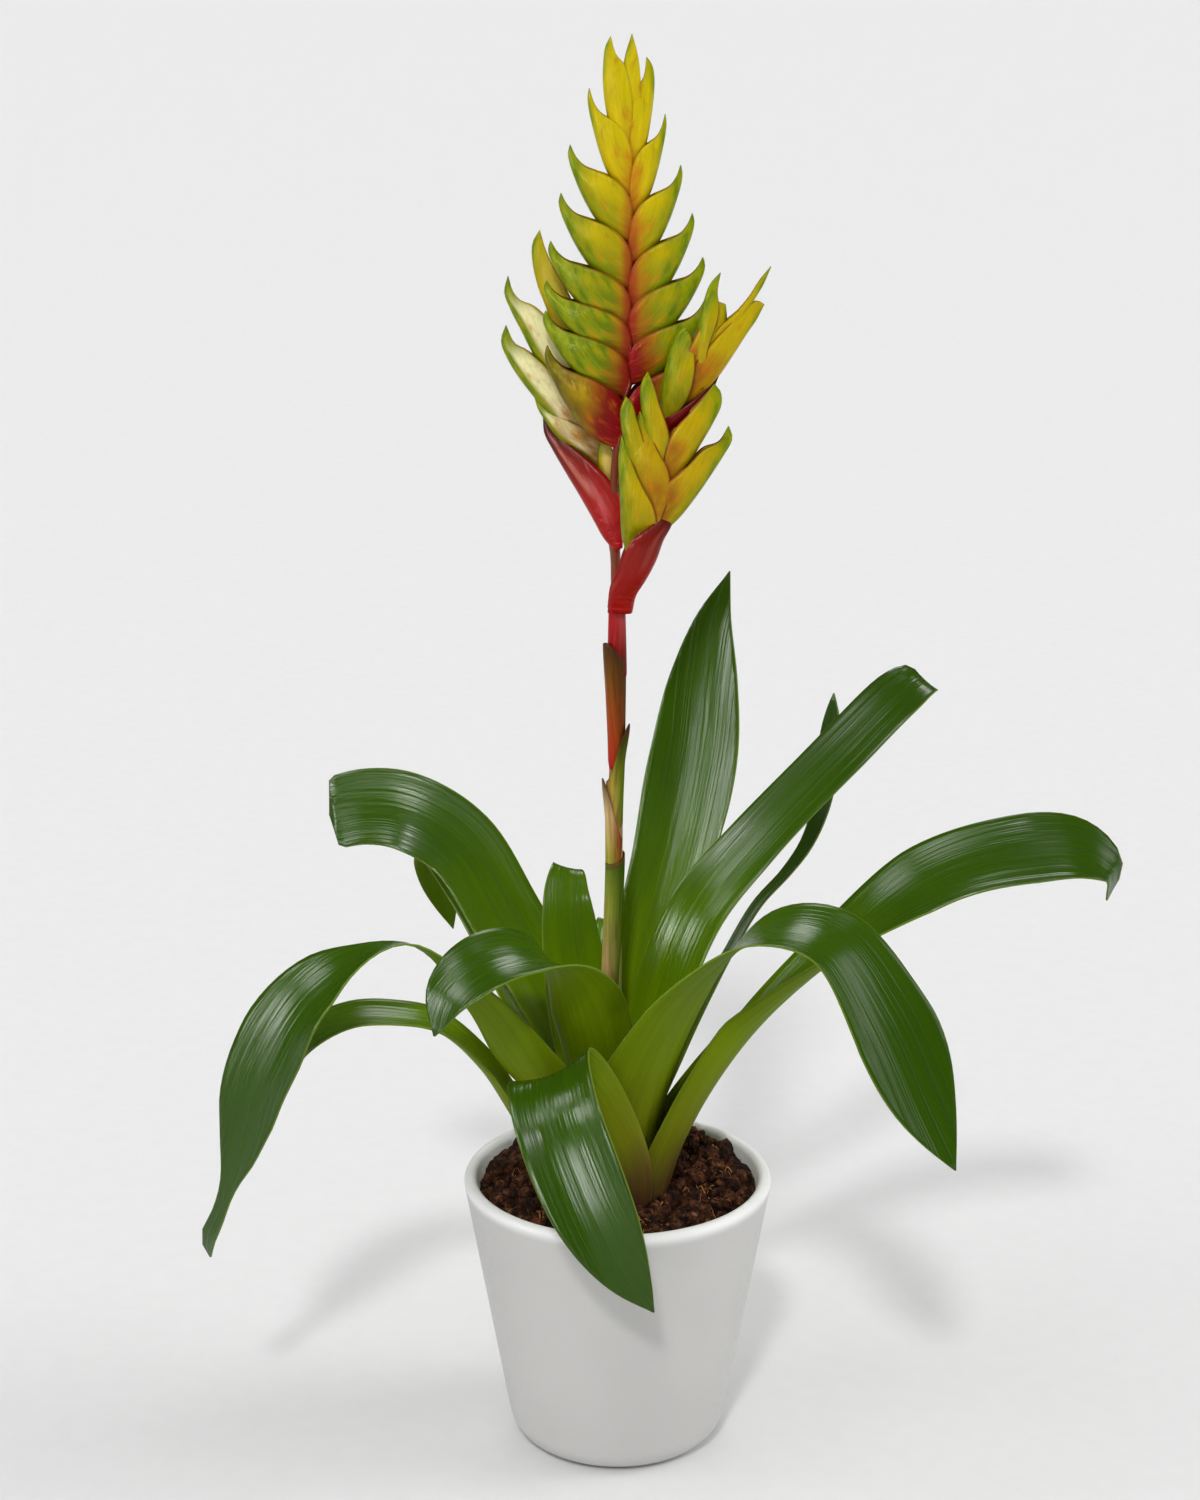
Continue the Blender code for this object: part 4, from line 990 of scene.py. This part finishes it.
# branches: the axis, the upright plane they lie in, and for each bract its outer edge and its
# front edge from foot to tip as x and z, its depth, and its red, green, pale and maroon
branches = {
    "left_branch": dict(
        axis=[(-1.5, 0, 394), (-2.5, 5, 404), (-7, 10, 418), (-11, 11, 431), (-24, 11, 478)],
        plane=11,
        bracts=[
            dict(keel=[(-7, 434), (-13, 439), (-20, 444), (-26, 449), (-30, 455), (-33, 460),
                       (-34.5, 465)],
                 margin=[(-5, 436), (-7, 446), (-13, 452), (-20, 455.5), (-26, 458),
                         (-31, 461), (-34.5, 465)],
                 depth=4.4, red=0.2, green=0.35, pale=0.8),
            dict(keel=[(-13, 443), (-23, 451), (-33, 463), (-40, 472), (-45, 480), (-48, 488),
                       (-46, 494.5)],
                 margin=[(-8, 446), (-12, 456), (-19, 464), (-25, 472), (-31, 479),
                         (-38, 484.5), (-42.5, 487), (-46, 494.5)],
                 depth=3.6, red=0.16, green=0.4, pale=1.0),
            dict(keel=[(-18, 458), (-28, 472), (-35, 483), (-40, 493), (-44, 501), (-46.5, 508),
                       (-45, 514.5)],
                 margin=[(-14, 460), (-18, 474), (-23, 487), (-29, 497), (-35, 502.5),
                         (-40, 504.5), (-43, 508), (-45, 514.5)],
                 depth=2.8, red=-0.05, green=0.5, pale=1.0),
            dict(keel=[(-21, 466), (-26, 484), (-29, 500), (-33, 511), (-35, 521), (-34.8, 528),
                       (-32, 533)],
                 margin=[(-16, 470), (-16, 490), (-19, 504), (-23, 512), (-27, 519),
                         (-30, 526), (-32, 533)],
                 depth=2.2, red=-0.2, green=0.15, pale=0.1),
            dict(keel=[(-5, 424), (-7.5, 432), (-8.5, 440), (-7.5, 446), (-6, 450)],
                 margin=[(-2.5, 424), (-1.6, 432), (-1.6, 440), (-3.5, 446), (-6, 450)],
                 depth=2.6, plane=[6, 6, 6], red=0.1, green=0.3, pale=0.2, maroon=0.3)],
        outer=dict(keel=[(-1.5, 403), (-6, 408), (-10, 415), (-16, 425), (-22, 434.5), (-27, 443),
                         (-30.5, 450), (-31, 457)],
                   margin=[(1.6, 405), (1.8, 416), (0.4, 426), (-5, 434), (-12, 440),
                           (-19, 445), (-26, 450), (-31, 457)],
                   depth=5.4, plane=[0, 1, 5, 9, 11, 11], clasp=3.4, gloss=1.0)),
    "right_branch": dict(
        axis=[(-0.5, 0, 430), (4, -5, 440), (11, -9.5, 451), (32, -9.5, 481)], plane=-9.5,
        bracts=[
            dict(keel=[(24, 464), (34, 470), (40, 477), (46, 486), (51, 494), (55, 500), (58, 506)],
                 margin=[(22, 468), (30, 482), (38, 492), (45, 499), (50, 504), (55, 507.5),
                         (58, 506)],
                 depth=3.0, red=0.24, green=0.1),
            dict(keel=[(30, 474), (38, 486), (45, 495), (50, 502), (54, 508), (57.5, 514),
                       (60.5, 521)],
                 margin=[(28, 476), (34, 489), (41, 498), (47, 503), (52, 509), (56, 515.5),
                         (60.5, 521)],
                 depth=2.0, red=-0.05, green=0.3),
            dict(keel=[(27, 470), (36, 480), (41, 490), (43, 499), (42.5, 506)],
                 margin=[(24, 472), (28, 488), (33, 498), (38, 507), (42.5, 506)],
                 depth=2.7, red=0.24, green=0.05),
            dict(keel=[(28, 472), (30.5, 488), (32, 498), (34, 507), (36.5, 514), (40.5, 518.5)],
                 margin=[(34, 472), (35.5, 488), (38.5, 497), (40, 504), (39.3, 511),
                         (40.5, 518.5)],
                 depth=3.4, red=-0.08, green=0.6),
            dict(keel=[(17, 459), (17, 469), (18.5, 479), (20.5, 487), (23, 493), (26.5, 497)],
                 margin=[(22, 460), (27, 467), (30, 476), (30.5, 485), (29, 493), (26.5, 497)],
                 depth=4.4, red=-0.02, green=0.6)],
        outer=dict(keel=[(12, 449), (20, 453), (26, 458), (32, 464), (37, 470), (40, 477)],
                   margin=[(10, 452), (16, 459), (23, 463), (30, 468), (36, 473), (40, 477)],
                   depth=4.6, plane=[-9.5], gloss=0.3, dark=0.6)),
    "lower_branch": dict(
        axis=[(-1, 0, 374), (-0.5, -4, 384), (1.5, -11, 394), (6, -16.5, 407), (10, -17, 418),
              (19, -17, 446)],
        plane=-17,
        bracts=[
            dict(keel=[(4, 402), (1.4, 412), (0.7, 424), (0.2, 436), (0, 446), (1.2, 454)],
                 margin=[(12, 404), (15.5, 418), (14, 426), (9.5, 434), (5.5, 443), (1.2, 454)],
                 depth=4.6, clasp=0.8, plane=[-11, -15, -17, -17, -17], red=0.0, green=0.52),
            dict(keel=[(9, 414), (8, 426), (6, 438), (5, 448), (6, 456), (8.5, 464)],
                 margin=[(17, 420), (21, 432), (20, 441), (16, 448), (12.5, 456), (8.5, 464)],
                 depth=3.9, red=0.2, green=0.36),
            dict(keel=[(14, 436), (12, 448), (10, 458), (8.8, 468), (9, 475), (11.5, 480)],
                 margin=[(20, 438), (21, 450), (19.5, 458), (16.5, 466), (14, 474), (11.5, 480)],
                 depth=2.8, red=-0.06, green=0.5),
            dict(keel=[(14, 412), (23, 419), (31, 429), (37, 438), (42, 446), (45.5, 453),
                       (44, 458)],
                 margin=[(13, 422), (16, 432), (22, 438), (28, 443), (34, 449), (40, 451.5),
                         (44, 458)],
                 depth=4.2, clasp=0.8, red=0.24, green=0.45),
            dict(keel=[(20, 432), (27, 441), (33, 451), (38, 460), (41, 467), (40.5, 472),
                       (38, 475)],
                 margin=[(17, 436), (18.5, 448), (22, 457), (28, 463.5), (33, 469),
                         (38, 475)],
                 depth=3.4, red=0.2, green=0.38)],
        # a young bract that stands behind the second one
        young=dict(keel=[(9, 430), (5, 440), (2.6, 450), (0.9, 459), (0.8, 465), (2.8, 470)],
                   margin=[(14, 432), (12, 444), (9.5, 454), (7.2, 461), (5.4, 467), (2.8, 470)],
                   depth=2.4, red=-0.15, green=0.55),
        outer=dict(keel=[(5.6, 377), (7, 385), (11, 393), (15, 402), (18, 411), (21.5, 418),
                         (22, 426)],
                   margin=[(-4.6, 378), (-3.5, 388), (-0.5, 396), (1.6, 404), (5, 412), (12, 417),
                           (18, 421), (22, 426)],
                   depth=6.4, plane=[-1, -7, -13, -17, -17, -17], clasp=4.2, gloss=0.2)),
}


def spread2(points, rows):
    flat = np.array([(x, 0, z) for x, z in points], float)
    path, length = along(flat, rows)
    return path[:, [0, 2]], length


def bractSurface(bract, plane):
    # a folded boat: two bowed sides that meet along the keel, open at the front edge
    rows, half = bractShape["rows"], bractShape["half"]
    keel, length = spread2(bract["keel"], rows)
    margin, _ = spread2(bract["margin"], rows)
    planes = spread(np.atleast_1d(plane), rows)
    t = np.linspace(0, 1, rows)
    depth, clasp = bract["depth"], bract.get("clasp", bractShape["clasp"])
    girth = clasp + (depth - clasp) * ease(t / 0.4) - (depth - 0.35) * ease((t - 0.5) / 0.5)
    points, across = [], []
    for i in range(rows):
        row, wide = [], []
        for u in np.linspace(-1, 1, 2 * half + 1):
            share = abs(u)
            x, z = keel[i] + (margin[i] - keel[i]) * share**1.35
            bulge = girth[i] * (1 - (1 - share) ** 2) ** 0.5
            bulge += 0.175 * girth[i] * math.sin(math.pi * 0.9 * share)
            row.append((x, planes[i] + math.copysign(bulge, u), z))
            wide.append(u * np.linalg.norm(margin[i] - keel[i]))
        points.append(row)
        across.append(wide)
    return np.array(points), np.array(across), length


def bractFinish():
    finish = Finish("spikeBract", Specular_IOR_Level=0.14)
    cloud = finish.noise((0.11 / mm, 0.05 / mm, 1), detail=3)
    patch = finish.noise((0.30 / mm, 0.09 / mm, 1), detail=4, roughness=0.6)
    veins = finish.noise((1.2 / mm, 0.06 / mm, 1), detail=3)
    up = finish.share("along")
    heart = finish.share("heart")
    edge = finish.edge()
    mottle = finish.plus(finish.swing(cloud, 0.9), finish.swing(patch, 0.5))
    height = finish.height()
    yellow = finish.mix(finish.step(height, 0.46, 0.58), tone(190, 160, 0), tone(208, 186, 0))
    yellow = finish.mix(finish.step(patch, 0.45, 0.7, 0, 0.6), yellow, tone(178, 178, 0))
    yellow = finish.mix(finish.step(up, 0.6, 0.1, 0, 0.35), yellow, tone(206, 150, 0))
    green = finish.mix(finish.step(patch, 0.35, 0.65), tone(98, 120, 0), tone(146, 156, 0))
    # green lies on the tip and the keel, and is blotched over the sides
    keelward = finish.step(edge, 0.7, 0.0)
    tipward = finish.step(up, 0.55, 1.0)
    amount = finish.plus(finish.times(keelward, 0.35), finish.times(tipward, 0.45))
    amount = finish.plus(finish.plus(amount, mottle), finish.share("green"))
    amount = finish.plus(amount, finish.times(finish.share("pale"), 0.3))
    colour = finish.mix(finish.step(amount, 0.35, 0.9), yellow, green)
    # the pale side faces of the left branch
    face = finish.times(finish.step(edge, 0.28, 0.5), finish.step(up, 0.93, 0.7))
    face = finish.times(face, finish.step(mottle, 0.3, -0.05))
    colour = finish.mix(finish.times(face, finish.share("pale")), colour, tone(246, 238, 178))
    # maroon over the lowest bracts
    amount = finish.plus(finish.times(mottle, 0.8), finish.share("maroon"))
    colour = finish.mix(finish.step(amount, 0.45, 0.9, 0, 0.8), colour, tone(92, 30, 5))
    # orange, brick and crimson toward the axis; the darker orange and brick low on the spike are
    # partly their own colour and partly painted shade in the crevices between the bracts
    amount = finish.plus(finish.math("SUBTRACT", heart, 1.0), finish.times(mottle, 0.55))
    amount = finish.plus(amount, finish.share("red"))
    orange = finish.mix(finish.step(height, 0.46, 0.56), tone(150, 78, 4), tone(210, 132, 4))
    brick = finish.mix(finish.step(height, 0.45, 0.55), tone(122, 20, 5), tone(190, 74, 16))
    colour = finish.mix(finish.step(amount, -0.1, 0.2, 0, 0.85), colour, orange)
    colour = finish.mix(finish.step(amount, 0.1, 0.34), colour, brick)
    deep = finish.times(finish.step(amount, 0.22, 0.44), finish.step(height, 0.56, 0.47))
    colour = finish.mix(deep, colour, tone(140, 4, 12))
    # a dull red flush low on the leaves of the spike's sides
    flush = finish.times(finish.step(patch, 0.52, 0.72), finish.step(heart, 0.1, 0.5))
    colour = finish.mix(finish.times(flush, 0.6), colour, tone(200, 112, 12))
    # painted highlights: lighter, whiter streaks over the sides, then fine dark veins
    paintedSheen = finish.noise((0.2 / mm, 0.04 / mm, 1), detail=2)
    paintedSheen = finish.times(finish.step(paintedSheen, 0.5, 0.7), finish.step(edge, 0.85, 0.5))
    colour = finish.stain(finish.times(paintedSheen, 0.45), colour, (1.45, 1.4, 2.2))
    colour = finish.stain(finish.step(veins, 0.35, 0.75, 0, 0.3), colour, (0.62, 0.66, 0.5))
    # the line along the margin
    line = finish.mix(finish.step(height, 0.46, 0.56), tone(112, 20, 12), tone(150, 84, 10))
    line = finish.mix(finish.share("pale"), line, tone(190, 150, 20))
    rim = finish.times(finish.step(edge, 0.94, 0.99), finish.step(height, 0.57, 0.5, 0.25, 0.85))
    colour = finish.mix(rim, colour, line)
    # crimson right beside the axis
    core = finish.times(finish.step(heart, 0.86, 0.96), finish.step(height, 0.57, 0.52))
    colour = finish.mix(finish.times(core, 0.6), colour, tone(150, 14, 20))
    finish.join("Base Color", colour)
    finish.join("Roughness", finish.step(cloud, 0.3, 0.7, 0.3, 0.42))
    finish.join("Normal", finish.bump(veins, 0.00012, normal=finish.bump(patch, 0.0006)))
    return finish.material


def outerFinish():
    finish = Finish("outerBract", Specular_IOR_Level=0.2)
    cloud = finish.noise((0.09 / mm, 0.04 / mm, 1), detail=3)
    veins = finish.noise((0.9 / mm, 0.05 / mm, 1), detail=3)
    creases = finish.noise((0.16 / mm, 0.5 / mm, 1), detail=2)
    edge = finish.edge()
    up = finish.plus(finish.share("along"), finish.swing(cloud, 0.5))
    colour = finish.ramp(up, [(0.05, tone(176, 16, 14)), (0.4, tone(158, 22, 14)),
                              (0.7, tone(116, 26, 14)), (0.95, tone(62, 20, 14))])
    # a painted highlight: a pale pink band along each side
    paintedHighlight = finish.times(finish.step(edge, 0.3, 0.4), finish.step(edge, 0.56, 0.44))
    paintedHighlight = finish.times(paintedHighlight, finish.times(finish.step(up, 0.36, 0.5), finish.step(up, 0.9, 0.7)))
    paintedHighlight = finish.times(finish.times(paintedHighlight, 0.75), finish.share("gloss"))
    colour = finish.mix(paintedHighlight, colour, tone(192, 110, 90))
    colour = finish.stain(finish.step(veins, 0.35, 0.75, 0, 0.4), colour, (0.5, 0.45, 0.45))
    colour = finish.stain(finish.share("dark"), colour, (0.3, 0.35, 0.4))
    finish.join("Base Color", colour)
    finish.join("Roughness", finish.step(cloud, 0.3, 0.7, 0.26, 0.38))
    low = finish.times(creases, finish.step(up, 0.45, 0.1))
    finish.join("Normal", finish.bump(veins, 0.00015, normal=finish.bump(
        cloud, 0.0005, normal=finish.bump(low, 0.0009))))
    return finish.material


def mainBract(side, height, reach, rise, red, green, maroon):
    # the shares of the shape laid out from the leaning axis
    def axisX(z):
        return np.interp(z, [p[2] for p in stalk["axis"]], [p[0] for p in stalk["axis"]])

    tipX = axisX(height) + side * reach
    top = np.clip((height - 500) / 60, 0, 1)
    margin = np.array(bractShape["margin"]) * (1 - top) + np.array(bractShape["topMargin"]) * top
    laid = {}
    for key, shape in (("keel", bractShape["keel"]), ("margin", margin)):
        levels = [height + rise * up for _, up in shape]
        laid[key] = [(axisX(z) * (1 - out) + tipX * out, z) for (out, _), z in zip(shape, levels)]
    return dict(laid, depth=np.interp(height, [448, 566], [6.0, 3.0]), red=red, green=green,
                maroon=maroon, clasp=stalkRadius(height) + 1.0)


def makeBract(name, bract, plane, axis, finish, slot):
    points, across, length = bractSurface(bract, plane)
    piece = layGrid(name, points, across, length)
    mesh = piece.data
    # gloss sets how much painted highlight an outer bract carries
    for key in ("red", "green", "pale", "maroon", "gloss", "dark"):
        addShare(mesh, key, bract.get(key, 0.0))
    reach, most = bractShape["branchReach"], bractShape["branchHeart"]
    if name.startswith("spike"):
        reach, most = bractShape["spikeReach"], 1
    path, _ = along(axis, 300)
    hearts = []
    for vertex in mesh.vertices:
        away = np.hypot(path[:, 0] * mm - vertex.co.x, path[:, 2] * mm - vertex.co.z).min() / mm
        hearts.append(np.clip(1 - away / reach, 0, most))
    addShare(mesh, "heart", hearts)
    thicken(piece, bractShape["thick"])
    return finishPiece(piece, name, slot, finish)


def makeBracts():
    bractGloss, outerGloss = bractFinish(), outerFinish()
    spike = dict(topBracts)
    for side, rank, letter in ((-1, mainLeft, "left"), (1, mainRight, "right")):
        for number, row in enumerate(rank, 1):
            spike[f"spike_bract_{letter}_{number}"] = mainBract(side, *row)
    for name, bract in spike.items():
        makeBract(name, bract, 0, stalk["axis"], bractGloss, "spike_yellow")
    for name, branch in branches.items():
        axis, plane = branch["axis"][-2:], branch["plane"]
        for number, bract in enumerate(branch["bracts"], 1):
            makeBract(f"{name}_bract_{number}", bract, bract.get("plane", plane), axis,
                      bractGloss, "spike_yellow")
        makeBract(f"{name}_outer_bract", branch["outer"], branch["outer"]["plane"], axis,
                  outerGloss, "bract_red")
        if "young" in branch:
            young = makeBract(f"{name}_bract_2", branch["young"], plane, axis, bractGloss,
                              "spike_yellow")
            young.name = young.data.name = f"{name}_young_bract"


makeCamera()
makeStudio()
print("camera, floor and light are set")
makePot()
print("pot is thrown")
makeSoil()
print("soil is filled in")
makeLeaves()
print("leaves are grown")
makeStalk()
makeSheaths()
print("flower stalk stands")
makeBracts()
print("spikes are dressed")
